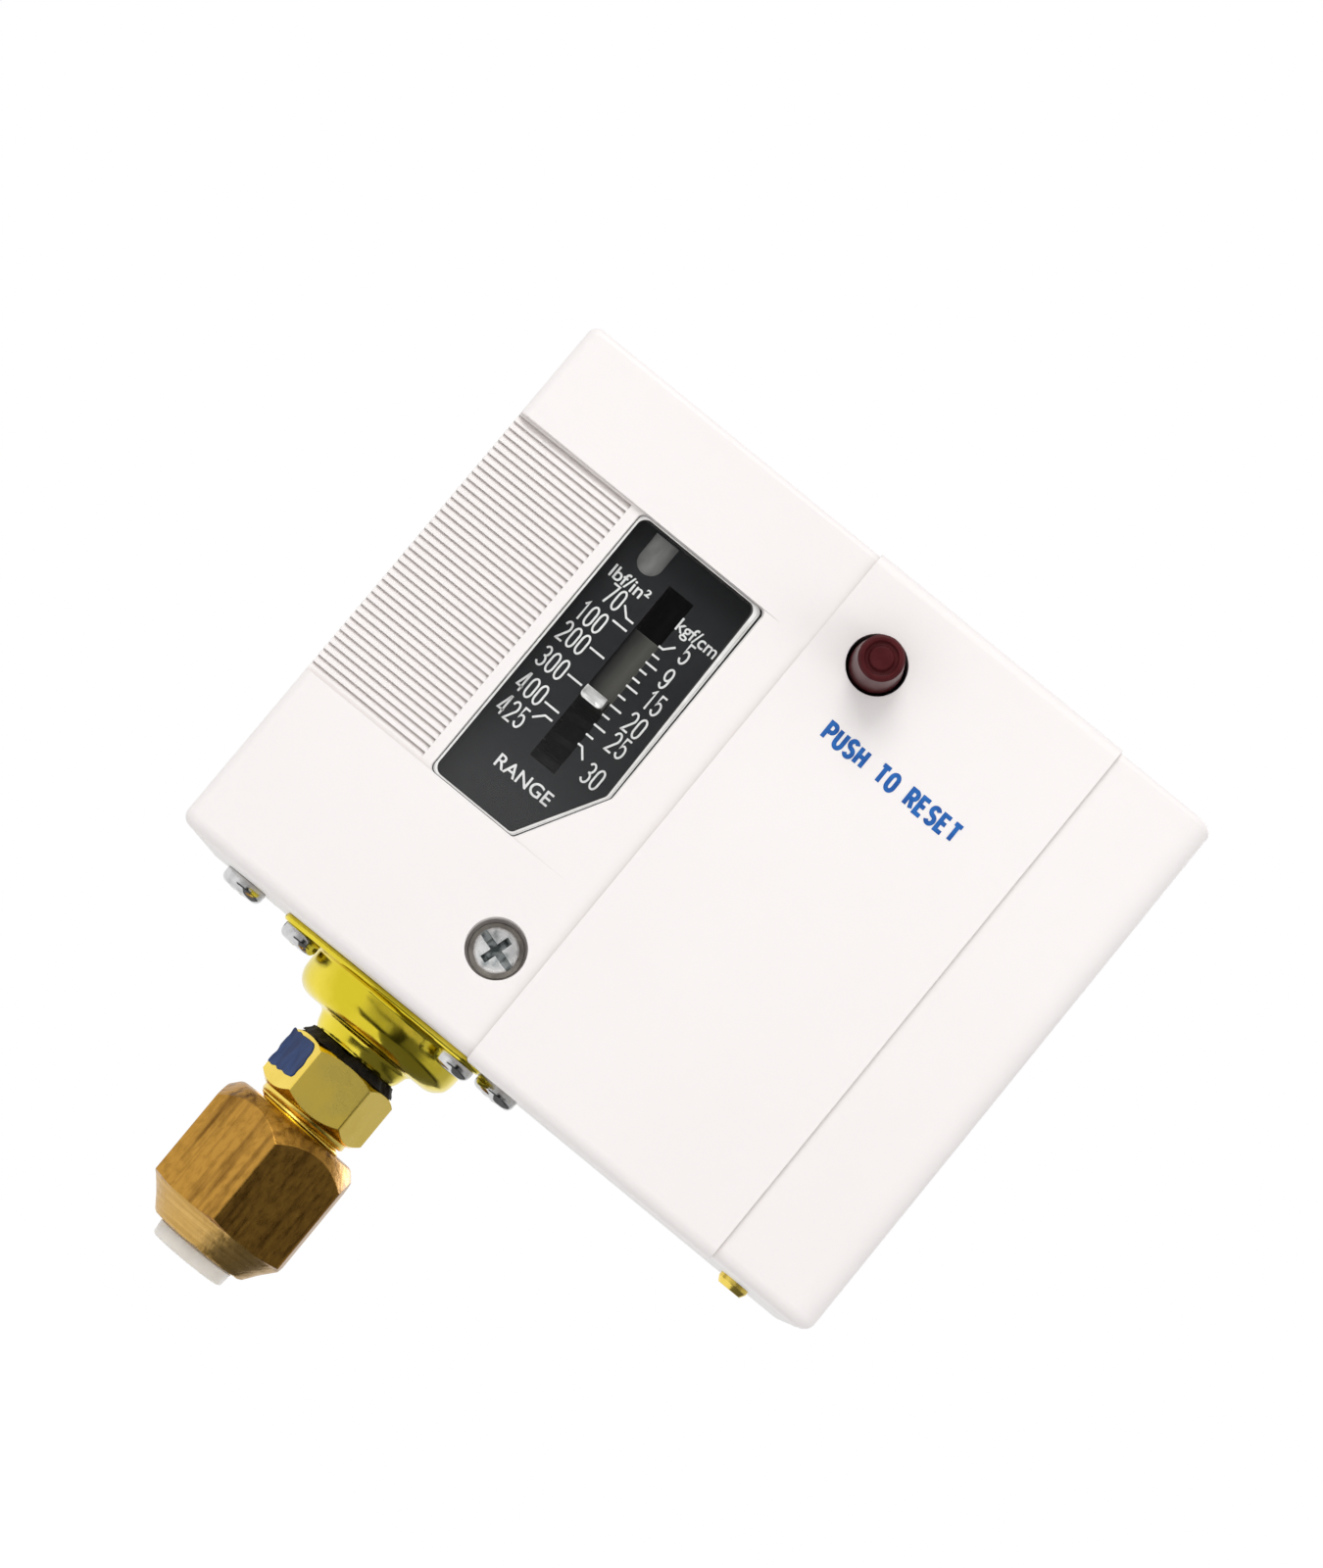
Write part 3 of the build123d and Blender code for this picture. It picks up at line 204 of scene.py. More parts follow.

# The pointer nut: a dull grey sleeve that shows in the plate's slot, turned from steel. Its tone is
# painted shade: darkest at its left and lighter to its right, with some grain. The pointer is a bright
# nickelled tab, bent round its flange, whose lower corners are rounded.
mm = 0.001
pointer_steel, tree, shader = new_finish("pointer_steel", (0.10, 0.10, 0.09, 1), 0.5, metal=0.35)
sleeve_left = -0.0186
sleeve_right = -0.0153
sleeve_grain = fine_noise(tree, 420, 4.0, (1.4, 1, 0.25))
# Painted shade: the sleeve's colour runs from near black at its left edge to a lighter grey at its
# right.
place = tree.nodes.new("ShaderNodeTexCoord")
across = tree.nodes.new("ShaderNodeSeparateXYZ")
shade_ramp = tree.nodes.new("ShaderNodeMapRange")
shade_ramp.inputs["From Min"].default_value = sleeve_left
shade_ramp.inputs["From Max"].default_value = sleeve_right
tree.links.new(place.outputs["Object"], across.inputs["Vector"])
tree.links.new(across.outputs["X"], shade_ramp.inputs["Value"])
shade_and_grain = tree.nodes.new("ShaderNodeMath")
shade_and_grain.operation = "MULTIPLY_ADD"
grain_share_in_shade = 0.45
shade_and_grain.inputs[1].default_value = grain_share_in_shade
tree.links.new(sleeve_grain, shade_and_grain.inputs[0])
tree.links.new(shade_ramp.outputs["Result"], shade_and_grain.inputs[2])
shaded_left_tone = (0.008, 0.008, 0.008, 1)
lit_right_tone = (0.085, 0.083, 0.072, 1)
shade(tree, shader, shade_and_grain.outputs["Value"], shaded_left_tone, lit_right_tone, 0.30, 1.15)
gloss(tree, shader, sleeve_grain, 0.35, 0.55)
relief(tree, shader, fine_noise(tree, 1500, 2.0), 0.00001, edge=0.0002)
dress("pointer_nut", pointer_steel)

tab_left = -18.50
tab_right = -15.78
tab_low = 2.66
tab_high = 4.12
tab_front = -39.62
tab_back = -39.38
tab_flare = 0.05
tab_corners = (
    (tab_left, tab_high), (tab_right, tab_high),
    (tab_right + tab_flare, tab_low), (tab_left - tab_flare, tab_low),
)
tab_corner_radii = (0.08, 0.08, 0.55, 0.55)
# The tab's skin from its back to its dished front: the share of its outline, and its depth
tab_dish = tab_front + 0.10
tab_skin = (
    (0.95, tab_back), (1.0, tab_back), (1.0, tab_front + 0.05), (0.94, tab_front),
    (0.80, tab_front + 0.02), (0.74, tab_dish), (0.30, tab_dish),
)


def rounded_outline(corners, radii, steps=8):
    """A closed outline with rounded corners, with as many points at each corner."""
    outline = []
    count = len(corners)
    for here in range(count):
        corner = Vector(corners[here])
        back = (Vector(corners[here - 1]) - corner).normalized()
        ahead = (Vector(corners[(here + 1) % count]) - corner).normalized()
        half = back.angle(ahead) / 2
        reach = radii[here] / math.tan(half)
        centre = corner + (back + ahead).normalized() * radii[here] / math.sin(half)
        start = corner + back * reach - centre
        end = corner + ahead * reach - centre
        sweep = start.angle_signed(end)
        for step in range(steps + 1):
            turn = Matrix.Rotation(-sweep * step / steps, 2)
            outline.append(centre + turn @ start)
    return outline


def skin_of_rings(name, rings, closed=False):
    """A mesh whose skin runs from ring to ring, capped at both ends unless it closes on itself."""
    shape = bmesh.new()
    rows = [[shape.verts.new(Vector(point) * mm) for point in ring] for ring in rings]
    pairs = list(zip(rows, rows[1:]))
    if closed:
        pairs.append((rows[-1], rows[0]))
    for low, high in pairs:
        for here in range(len(low)):
            beyond = (here + 1) % len(low)
            shape.faces.new((low[here], low[beyond], high[beyond], high[here]))
    if not closed:
        shape.faces.new(list(reversed(rows[0])))
        shape.faces.new(rows[-1])
    bmesh.ops.recalc_face_normals(shape, faces=shape.faces)
    mesh = bpy.data.meshes.new(name)
    shape.to_mesh(mesh)
    shape.free()
    return mesh


def placed(name, data):
    """An object in the scene for a mesh, a curve, a lamp or a camera."""
    thing = bpy.data.objects.new(name, data)
    bpy.context.scene.collection.objects.link(thing)
    return thing


def finished_piece(name, mesh, finish, slot, body, *nodes, crease=35):
    """Sets a mesh up as a piece: smooth but for its creases, with its finish, body and nodes."""
    mesh.shade_smooth()
    mesh.set_sharp_from_angle(angle=math.radians(crease))
    mesh.materials.append(finish)
    piece = placed(name, mesh)
    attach(piece, body)
    if nodes:
        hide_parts(*nodes)
    return piece


tab_outline = rounded_outline(tab_corners, tab_corner_radii, 6)
tab_centre = Vector(((tab_left + tab_right) / 2, (tab_low + tab_high) / 2))
tab_rings = []
for share, depth in tab_skin:
    ring = [tab_centre + (point - tab_centre) * share for point in tab_outline]
    tab_rings.append([(point.x, depth, point.y) for point in ring])
tab_nickel, tree, shader = new_finish("tab_nickel", (0.80, 0.80, 0.78, 1), 0.3, metal=0.25)
brushed = fine_noise(tree, 1500, 3.0, (0.15, 1, 1))
shade(tree, shader, brushed, (0.46, 0.46, 0.45, 1), (0.95, 0.95, 0.93, 1), 0.35, 0.65)
relief(tree, shader, brushed, 0.00002)
finished_piece(
    "pointer_tab", skin_of_rings("pointer_tab", tab_rings), tab_nickel, "zinc_steel", "pointer",
    crease=50,
)

# The scale plate: thin bent sheet, printed satin black, with white numbers and ticks.
# It hangs from the chassis flange behind the window.
plate_black, tree, shader = new_finish("scale_black", (0.012, 0.013, 0.015, 1), 0.5)
speckle = fine_noise(tree, 1100, 3.0)
shade(tree, shader, speckle, (0.011, 0.012, 0.014, 1), (0.015, 0.016, 0.018, 1))
gloss(tree, shader, speckle, 0.56, 0.64)
shader.inputs["Specular IOR Level"].default_value = 0.25
dress("scale_plate", plate_black)

# Behind the plate's notch stands a tongue of bare sheet. It isn't a known piece of such a
# switch: it is here because the notch shows something grey and flat. It stays clear of the
# pointer nut's guide, which passes behind the plate.
plate_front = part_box("scale_plate")[0].y
plate_thickness = 0.5
plate_back = plate_front / mm + plate_thickness
tongue_left = -23.5
tongue_right = -19.9
tongue_high = 21.9
tongue_low = 16.2
tongue_thickness = 0.22
tongue_corners = (
    (tongue_left, tongue_high), (tongue_right, tongue_high), (tongue_right, tongue_low),
    (tongue_left, tongue_low),
)
tongue_corner_radii = (0.3, 0.3, 1.2, 1.2)
tongue_outline = rounded_outline(tongue_corners, tongue_corner_radii, 5)
tongue_rings = []
for depth in (0.0, tongue_thickness):
    tongue_rings.append([(point.x, plate_back + depth, point.y) for point in tongue_outline])
tongue_zinc, tree, shader = new_finish("tongue_zinc", (0.27, 0.27, 0.26, 1), 0.5, metal=0.1)
scuffs = fine_noise(tree, 700, 4.0, (1, 1, 0.4))
shade(tree, shader, scuffs, (0.19, 0.19, 0.185, 1), (0.35, 0.35, 0.34, 1))
relief(tree, shader, scuffs, 0.00002)
finished_piece(
    "plate_tongue", skin_of_rings("plate_tongue", tongue_rings), tongue_zinc, "zinc_steel", "housing"
)

# The print on the plate: numbers, ticks, units and RANGE in white ink, a film a few hundredths
# of a millimetre thick. The numbers and ticks are strokes of one width, as a pen draws them.
ink_film = 0.00003
white_ink, tree, shader = new_finish("white_ink", (0.86, 0.86, 0.85, 1), 0.5)
blotch = fine_noise(tree, 1500, 2.0)
shade(tree, shader, blotch, (0.78, 0.78, 0.77, 1), (0.92, 0.92, 0.91, 1))


def printed_words(name, words, left, right, base, height, front, finish, weight=0.0):
    """Words set between two edges, standing on a base line, as a film on a surface that faces -Y."""
    curve = bpy.data.curves.new(name, "FONT")
    curve.body = words
    curve.size = 1.0
    curve.offset = weight
    curve.extrude = 0.01
    setting = placed(name + "_setting", curve)
    bpy.context.view_layer.update()
    shape = bpy.data.meshes.new_from_object(
        setting.evaluated_get(bpy.context.evaluated_depsgraph_get())
    )
    bpy.data.objects.remove(setting)
    xs = [corner.co.x for corner in shape.vertices]
    ys = [corner.co.y for corner in shape.vertices]
    stretch_x = (right - left) / (max(xs) - min(xs))
    stretch_z = height / max(ys)
    for corner in shape.vertices:
        flat = corner.co.copy()
        depth = front - ink_film if flat.z > 0 else front + ink_film
        corner.co = (left + (flat.x - min(xs)) * stretch_x, depth, base + flat.y * stretch_z)
    shape.name = name
    shape.materials.clear()
    shape.materials.append(finish)
    return placed(name, shape)


def printed_strokes(name, strokes, weight, front, finish):
    """Strokes of one width with mitred corners, as a film on a surface that faces -Y. Strokes
    that cross have films of different thickness, so that no two faces share a plane."""
    shape = bmesh.new()
    for number, stroke in enumerate(strokes):
        film = ink_film * (1 + number % 4 / 4)
        points = [Vector(stroke[0])]
        for point in stroke[1:]:
            if (Vector(point) - points[-1]).length > weight / 20:
                points.append(Vector(point))
        edges = []
        for here, point in enumerate(points):
            before = (point - points[here - 1]).normalized() if here else None
            after = (points[here + 1] - point).normalized() if here + 1 < len(points) else None
            along = ((before or after) + (after or before)).normalized()
            across = Vector((-along.y, along.x))
            widen = 1 / max(0.5, across.dot(Vector((-(after or before).y, (after or before).x))))
            reach = across * widen * weight / 2
            edges.append((point - reach, point + reach))
        low = [[shape.verts.new((p.x, front + ink_film, p.y)) for p in pair] for pair in edges]
        high = [[shape.verts.new((p.x, front - film, p.y)) for p in pair] for pair in edges]
        for here in range(len(edges) - 1):
            shape.faces.new((high[here][0], high[here + 1][0], high[here + 1][1], high[here][1]))
            for side in (0, 1):
                shape.faces.new(
                    (low[here][side], low[here + 1][side], high[here + 1][side], high[here][side])
                )
        for end in (0, -1):
            shape.faces.new((low[end][0], low[end][1], high[end][1], high[end][0]))
    bmesh.ops.recalc_face_normals(shape, faces=shape.faces)
    mesh = bpy.data.meshes.new(name)
    shape.to_mesh(mesh)
    shape.free()
    mesh.materials.append(finish)
    return placed(name, mesh)


def bow(centre, size, start, end, steps=12):
    """A bow in a character: an arc of an ellipse between two angles in degrees."""
    points = []
    for step in range(steps + 1):
        angle = math.radians(start + (end - start) * step / steps)
        points.append((centre[0] + size[0] * math.cos(angle), centre[1] + size[1] * math.sin(angle)))
    return points


# The characters, each as strokes in a square of one by one
characters = {
    "0": [
        bow((0.5, 0.70), (0.5, 0.30), 0, 180) + bow((0.5, 0.30), (0.5, 0.30), 180, 360)
        + [(1, 0.70)]
    ],
    "1": [[(0.28, 0.80), (0.68, 1.0), (0.68, 0.0)]],
    "2": [bow((0.5, 0.72), (0.48, 0.28), 168, -32) + [(0.02, 0.02), (0.0, 0.0), (1.0, 0.0)]],
    "3": [
        bow((0.46, 0.765), (0.46, 0.235), 155, -80) + [(0.36, 0.53)],
        [(0.36, 0.53)] + bow((0.46, 0.265), (0.52, 0.265), 85, -155),
    ],
    "4": [[(1.0, 0.25), (0.0, 0.25), (0.66, 1.0), (0.76, 1.0), (0.76, 0.0)]],
    "5": [[(0.92, 1.0), (0.14, 1.0), (0.06, 0.50)] + bow((0.47, 0.325), (0.52, 0.325), 138, -158)],
    "7": [[(0.0, 1.0), (1.0, 1.0), (0.92, 0.80), (0.36, 0.0)]],
    "9": [
        bow((0.5, 0.70), (0.49, 0.30), 0, 360, 24),
        [(0.99, 0.70)] + bow((0.5, 0.34), (0.49, 0.34), 0, -155),
    ],
    "P": [
        [(0, 0), (0, 1), (0.50, 1)] + bow((0.55, 0.74), (0.45, 0.26), 90, -90),
        [(0.55, 0.48), (0, 0.48)],
    ],
    "U": [[(0, 1), (0, 0.30)] + bow((0.5, 0.30), (0.5, 0.30), 180, 360) + [(1, 1)]],
    "S": [
        bow((0.5, 0.76), (0.48, 0.24), 25, 250) + [(0.70, 0.49)]
        + bow((0.5, 0.26), (0.5, 0.26), 40, -155)
    ],
    "H": [[(0, 0), (0, 1)], [(1, 0), (1, 1)], [(0, 0.52), (1, 0.52)]],
    "T": [[(-0.05, 1), (1.05, 1)], [(0.5, 1), (0.5, 0)]],
    "O": [
        bow((0.5, 0.70), (0.5, 0.30), 0, 180) + bow((0.5, 0.30), (0.5, 0.30), 180, 360)
        + [(1, 0.70)]
    ],
    "R": [
        [(0, 0), (0, 1), (0.50, 1)] + bow((0.55, 0.75), (0.45, 0.25), 90, -90),
        [(0.55, 0.50), (0, 0.50)],
        [(0.55, 0.50), (1.0, 0)],
    ],
    "E": [[(0.95, 1), (0, 1), (0, 0), (0.95, 0)], [(0, 0.52), (0.85, 0.52)]],
}


def lettered(words, left, base, width, advance, height, weight):
    """The strokes of a word: each character fills width by height, at steps of advance."""
    strokes = []
    for number, character in enumerate(words):
        start = left + number * advance + weight / 2
        for stroke in characters[character]:
            strokes.append(
                [
                    (start + x * (width - weight), base + weight / 2 + z * (height - weight))
                    for x, z in stroke
                ]
            )
    return strokes


digit_height = 0.00252
digit_width = 0.00100
digit_advance = 0.00117
stroke_weight = 0.00023
scale_strokes = []
# Each number: its value and the height of its middle
left_numbers_end = -0.02110
left_numbers = (
    ("70", 0.01308), ("100", 0.00992), ("200", 0.00703), ("300", 0.00358), ("400", 0.00010),
    ("425", -0.00304),
)
for words, middle in left_numbers:
    left = left_numbers_end - (len(words) - 1) * digit_advance - digit_width
    scale_strokes += lettered(
        words, left, middle - digit_height / 2, digit_width, digit_advance, digit_height, stroke_weight
    )
right_numbers_start = -0.01298
right_numbers = (
    ("5", 0.01316), ("9", 0.00986), ("15", 0.00704), ("20", 0.00394), ("25", 0.00118),
    ("30", -0.00302),
)
for words, middle in right_numbers:
    scale_strokes += lettered(
        words, right_numbers_start, middle - digit_height / 2, digit_width, digit_advance,
        digit_height, stroke_weight,
    )
# The ticks: straight ones, and at each end of the scale a bent one that runs out to its number
left_tick_start = -0.01890
left_tick_end = -0.02082
left_tick_bend = -0.01985
left_heights = (0.01107, 0.00733, 0.00366, -0.00013)
left_bent = ((0.01214, 0.01313), (-0.00123, -0.00222))
left_ticks = [((left_tick_start, z), (left_tick_end, z)) for z in left_heights]
for near, far in left_bent:
    left_ticks.append(((left_tick_start, near), (left_tick_bend, near), (left_tick_end, far)))
right_tick_start = -0.01534
right_tick_short = -0.01438
right_tick_long = -0.01385
right_tick_bend = -0.01477
short_heights = (0.01093, 0.00883, 0.00769, 0.00534, 0.00270, 0.00002)
long_heights = (0.00986, 0.00667, 0.00399, 0.00134)
right_ticks = [((right_tick_start, z), (right_tick_short, z)) for z in short_heights]
right_ticks += [((right_tick_start, z), (right_tick_long, z)) for z in long_heights]
right_bent = ((0.01203, 0.01302), (-0.00130, -0.00240))
for near, far in right_bent:
    right_ticks.append(((right_tick_start, near), (right_tick_bend, near), (right_tick_long, far)))
scale_strokes += left_ticks + right_ticks
scale_print = [
    printed_strokes("scale_marks", scale_strokes, stroke_weight, plate_front, white_ink)
]
# Each word on the plate: its name, its text, its two ends, its base line and its height
plate_words = (
    ("unit_left", "lbf/in²", -0.02428, -0.01936, 0.01452, 0.00150),
    ("unit_right", "kgf/cm²", -0.01524, -0.00936, 0.01452, 0.00150),
    ("range_word", "RANGE", -0.02083, -0.01367, -0.00861, 0.00152),
)
word_boldness = 0.012
for name, words, left, right, base, height in plate_words:
    scale_print.append(
        printed_words(
            name, words, left, right, base, height, plate_front, white_ink, weight=word_boldness
        )
    )
for piece in scale_print:
    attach(piece, "housing")

# The bellows housing: one steel pressing with a three-lobed flange, a drawn cup and a neck,
# zinc-plated and yellow-passivated to a bright gold. The press left its wall a little wavy.
# It is screwed to the chassis through the bottom wall.
pressure_x = -13.5
pressure_y = -19.0
pressure_axis = Vector((pressure_x, pressure_y, 0))
bottom_z = -33.8
cup_radius = 10.4
cup_bottom = -39.2
neck_bottom = -41.4
flange_rim_radius = 11.0
flange_lobe_radius = 2.8
flange_screw_circle = 12.9
flange_screw_angles = (-45, -165, 75)
flange_underside = -34.6


def angles_round(sides):
    """Evenly spaced angles once round, for the sides of a turned piece."""
    return [2 * math.pi * side / sides for side in range(sides)]


def bend(centre, radius, start, end, steps=6):
    """Points of an arc in a profile of (radius, height), from one angle to another in degrees."""
    points = []
    for step in range(steps + 1):
        angle = math.radians(start + (end - start) * step / steps)
        points.append((centre[0] + radius * math.cos(angle), centre[1] + radius * math.sin(angle)))
    return points


def hull_of(points):
    """The convex outline round points in a plane."""
    points = sorted(points)
    outline = []
    for run in (points, points[::-1]):
        side = []
        for point in run:
            while len(side) > 1:
                before = Vector(side[-1]) - Vector(side[-2])
                after = Vector(point) - Vector(side[-1])
                if before.x * after.y - before.y * after.x > 0:
                    break
                side.pop()
            side.append(point)
        outline += side[:-1]
    return outline


def reach_of(outline, angle):
    """How far an outline round the origin reaches in one direction."""
    ray = Vector((math.cos(angle), math.sin(angle)))
    for here in range(len(outline)):
        start = Vector(outline[here])
        along = Vector(outline[(here + 1) % len(outline)]) - start
        turn = ray.x * along.y - ray.y * along.x
        if abs(turn) < 1e-12:
            continue
        reach = (start.x * along.y - start.y * along.x) / turn
        share = (start.x * ray.y - start.y * ray.x) / turn
        if reach > 0 and -1e-9 <= share <= 1 + 1e-9:
            return reach
    return 0


flange_points = []
for step in range(120):
    angle = math.radians(step * 3)
    flange_points.append((flange_rim_radius * math.cos(angle), flange_rim_radius * math.sin(angle)))
    for lobe in flange_screw_angles:
        lobe_x = flange_screw_circle * math.cos(math.radians(lobe))
        lobe_y = flange_screw_circle * math.sin(math.radians(lobe))
        flange_points.append(
            (
                lobe_x + flange_lobe_radius * math.cos(angle),
                lobe_y + flange_lobe_radius * math.sin(angle),
            )
        )
flange_outline = hull_of(flange_points)
housing_angles = angles_round(240)
flange_reach = [reach_of(flange_outline, angle) for angle in housing_angles]
# The housing's section, from the flange down the cup and the neck and up again inside
cup_profile = [(cup_radius + 0.75, flange_underside), (cup_radius + 0.35, flange_underside - 0.12)]
cup_profile += bend((cup_radius + 0.45, flange_underside - 0.55), 0.45, 130, 180, 4)
cup_profile += [(cup_radius, flange_underside - 1.0), (cup_radius, cup_bottom + 2.5)]
cup_profile += bend((cup_radius - 2.6, cup_bottom + 2.5), 2.6, -8, -84, 12)
cup_profile += [(7.2, cup_bottom - 0.06), (6.7, cup_bottom - 0.10)]
cup_profile += bend((6.55, cup_bottom - 0.85), 0.75, 90, 172, 6)
cup_profile += [(5.62, cup_bottom - 1.35), (5.40, neck_bottom + 0.35)]
cup_profile += bend((5.05, neck_bottom + 0.25), 0.25, 0, -90, 4)
cup_profile += [(3.5, neck_bottom), (3.5, cup_bottom + 1.0), (cup_radius - 1.1, cup_bottom + 1.2)]
cup_profile += [(cup_radius - 1.1, bottom_z)]
housing_rings = []
# The flange's rounded edge: how far in, and how far below the bottom wall
flange_edge = ((0.2, 0.0), (0.0, -0.2), (0.0, -0.6), (0.2, -0.8))
for inset, height in flange_edge:
    housing_rings.append(
        [
            (
                pressure_x + (reach - inset) * math.cos(angle),
                pressure_y + (reach - inset) * math.sin(angle),
                bottom_z + height,
            )
            for angle, reach in zip(housing_angles, flange_reach)
        ]
    )
wavy_from_radius = 9.8
wave_height = 0.16
wave_limit = 0.06
for radius, height in cup_profile:
    ring = []
    for angle in housing_angles:
        wave = 0.0
        if radius > wavy_from_radius and height < flange_underside - 0.3:
            wave = wave_height * noise.noise(
                Vector((1.6 * math.cos(angle), 1.6 * math.sin(angle), 0.55 * height))
            )
            wave = min(wave, wave_limit)
        reach = radius + wave
        ring.append((pressure_x + reach * math.cos(angle), pressure_y + reach * math.sin(angle), height))
    housing_rings.append(ring)

yellow_zinc, tree, shader = new_finish("yellow_zinc", (0.86, 0.68, 0.11, 1), 0.14, metal=1.0)
clouds = fine_noise(tree, 150, 4.0)
shade(tree, shader, clouds, (0.68, 0.55, 0.03, 1), (0.89, 0.73, 0.08, 1))
gloss(tree, shader, fine_noise(tree, 500, 4.0), 0.09, 0.24)
relief(tree, shader, fine_noise(tree, 260, 3.0, (1, 1, 0.5)), 0.00006)
finished_piece(
    "bellows_housing_pressing", skin_of_rings("bellows_housing_pressing", housing_rings, closed=True),
    yellow_zinc, "yellow_zinc", "housing", "bellows_housing", crease=50,
)

# The screws under the case: bright nickelled pan heads with a cross recess. Two hold the
# chassis foot to the bottom wall, three hold the flange of the bellows housing.
flange_head_radius = 2.3
flange_head_height = 1.6
flange_screw_length = 5.0
foot_head_radius = 2.65
foot_head_height = 1.65
foot_screw_length = 4.6
cross_arm = 1.35
cross_half_width = 0.33
cross_depth = 1.15
foot_screw_places = ((-35.3, -12.0), (0.7, -15.0))
screw_radius = 1.5


def cut_out(mesh, cutter):
    """The mesh with the cutter's volume taken out of it."""
    whole = placed("whole", mesh)
    tool = placed("tool", cutter)
    cut = whole.modifiers.new("cut", "BOOLEAN")
    cut.operation = "DIFFERENCE"
    cut.solver = "EXACT"
    cut.object = tool
    bpy.context.view_layer.update()
    result = bpy.data.meshes.new_from_object(
        whole.evaluated_get(bpy.context.evaluated_depsgraph_get())
    )
    bpy.data.objects.remove(whole)
    bpy.data.objects.remove(tool)
    result.name = mesh.name
    return result


def turned_rings(profile, angles):
    """The rings of a turned piece on Z, from its profile of (radius, height)."""
    return [[(r * math.cos(angle), r * math.sin(angle), h) for angle in angles] for r, h in profile]


def cross_cutter(name, arm, half_width, top, bottom):
    """A tapering cross that stands on Z, to press a recess into a screw head."""
    rings = []
    for height, share in ((bottom, 0.62), (top, 1.0), (top + 1.5, 1.0)):
        long = arm * share
        wide = half_width * (0.75 + 0.25 * share)
        ring = []
        for quarter in range(4):
            turn = Matrix.Rotation(math.radians(90 * quarter), 3, "Z")
            for x, y in ((long, -wide), (long, wide), (wide, wide)):
                point = turn @ Vector((x, y, 0))
                ring.append((point.x, point.y, height))
        rings.append(ring)
    return skin_of_rings(name, rings)


def pan_head_screw(name, head_radius, head_height, length):
    """A screw on Z with a rounded pan head and a cross recess, the head's underside at zero."""
    soft = head_height * 0.55
    profile = [(screw_radius * 0.7, -length), (screw_radius, -length + 0.5), (screw_radius, 0.0)]
    profile += [(head_radius - 0.15, 0.0)]
    profile += bend((head_radius - 0.15, 0.15), 0.15, -90, 0, 4)
    profile += bend((head_radius - soft, head_height - soft), soft, 0, 75, 10)
    profile += [(head_radius * 0.45, head_height + 0.02), (0.05, head_height + 0.06)]
    head = skin_of_rings(name, turned_rings(profile, angles_round(72)))
    recess = cross_cutter(
        name + "_recess", cross_arm, cross_half_width, head_height, head_height - cross_depth
    )
    return cut_out(head, recess)


def placed_copies(name, mesh, places):
    """One mesh made of copies of another, each at a place with a direction and a turn in degrees."""
    shape = bmesh.new()
    for place, direction, turn in places:
        copy = mesh.copy()
        facing = Vector(direction).to_track_quat("Z", "Y").to_matrix().to_4x4()
        spin = Matrix.Rotation(math.radians(turn), 4, "Z")
        copy.transform(Matrix.Translation(Vector(place) * mm) @ facing @ spin)
        shape.from_mesh(copy)
        bpy.data.meshes.remove(copy)
    joined = bpy.data.meshes.new(name)
    shape.to_mesh(joined)
    shape.free()
    return joined


nickel, tree, shader = new_finish("bright_nickel", (0.66, 0.66, 0.66, 1), 0.10, metal=1.0)
film = fine_noise(tree, 700, 3.0)
shade(tree, shader, film, (0.50, 0.50, 0.50, 1), (0.74, 0.74, 0.74, 1))
gloss(tree, shader, film, 0.06, 0.20)
relief(tree, shader, fine_noise(tree, 420, 2.0), 0.00005, edge=0.00008)
down = (0, 0, -1)
foot_screw = pan_head_screw("foot_screw", foot_head_radius, foot_head_height, foot_screw_length)
foot_places = [((x, y, bottom_z), down, 25 + 40 * x) for x, y in foot_screw_places]
finished_piece(
    "foot_screw_set", placed_copies("foot_screw_set", foot_screw, foot_places), nickel, "zinc_steel",
    "housing", "foot_screws", crease=40,
)
flange_screw = pan_head_screw(
    "flange_screw", flange_head_radius, flange_head_height, flange_screw_length
)
flange_places = []
for angle in flange_screw_angles:
    spot = pressure_axis + flange_screw_circle * Vector(
        (math.cos(math.radians(angle)), math.sin(math.radians(angle)), 0)
    )
    flange_places.append(((spot.x, spot.y, flange_underside), down, angle))
finished_piece(
    "flange_screw_set", placed_copies("flange_screw_set", flange_screw, flange_places), nickel,
    "zinc_steel", "housing", "flange_screws", crease=40,
)

# The sealant between the neck and the connector: a bead of black compound, pressed out
# unevenly by the hexagon and left to cure on its top.
hex_top = -42.4
sealant_rings = []
sealant_profile = (
    (3.5, -41.5), (5.05, -41.40), (5.42, -41.45), (5.62, -41.75), (5.95, -42.15), (6.1, -42.45),
    (3.5, -42.4),
)
lump_height = 0.34
for radius, height in sealant_profile:
    ring = []
    for angle in housing_angles:
        lump = noise.noise(Vector((3.4 * math.cos(angle), 3.4 * math.sin(angle), height * 1.5)))
        lump += 0.5 * noise.noise(Vector((9 * math.cos(angle), 9 * math.sin(angle), height)))
        reach = radius + (lump_height * lump if radius > 5 else 0)
        lift = 0.16 * lump if height > -42.0 else 0
        x = pressure_x + reach * math.cos(angle)
        y = pressure_y + reach * math.sin(angle)
        ring.append((x, y, height + lift))
    sealant_rings.append(ring)
sealant, tree, shader = new_finish("sealant", (0.008, 0.007, 0.006, 1), 0.6)
shader.inputs["Specular IOR Level"].default_value = 0.2
crust = fine_noise(tree, 700, 4.0)
shade(tree, shader, crust, (0.004, 0.004, 0.004, 1), (0.02, 0.016, 0.013, 1))
relief(tree, shader, crust, 0.00015)
finished_piece(
    "sealant_bead", skin_of_rings("sealant_bead", sealant_rings, closed=True), sealant, "sealant",
    "housing", "seal_ring", crease=80,
)

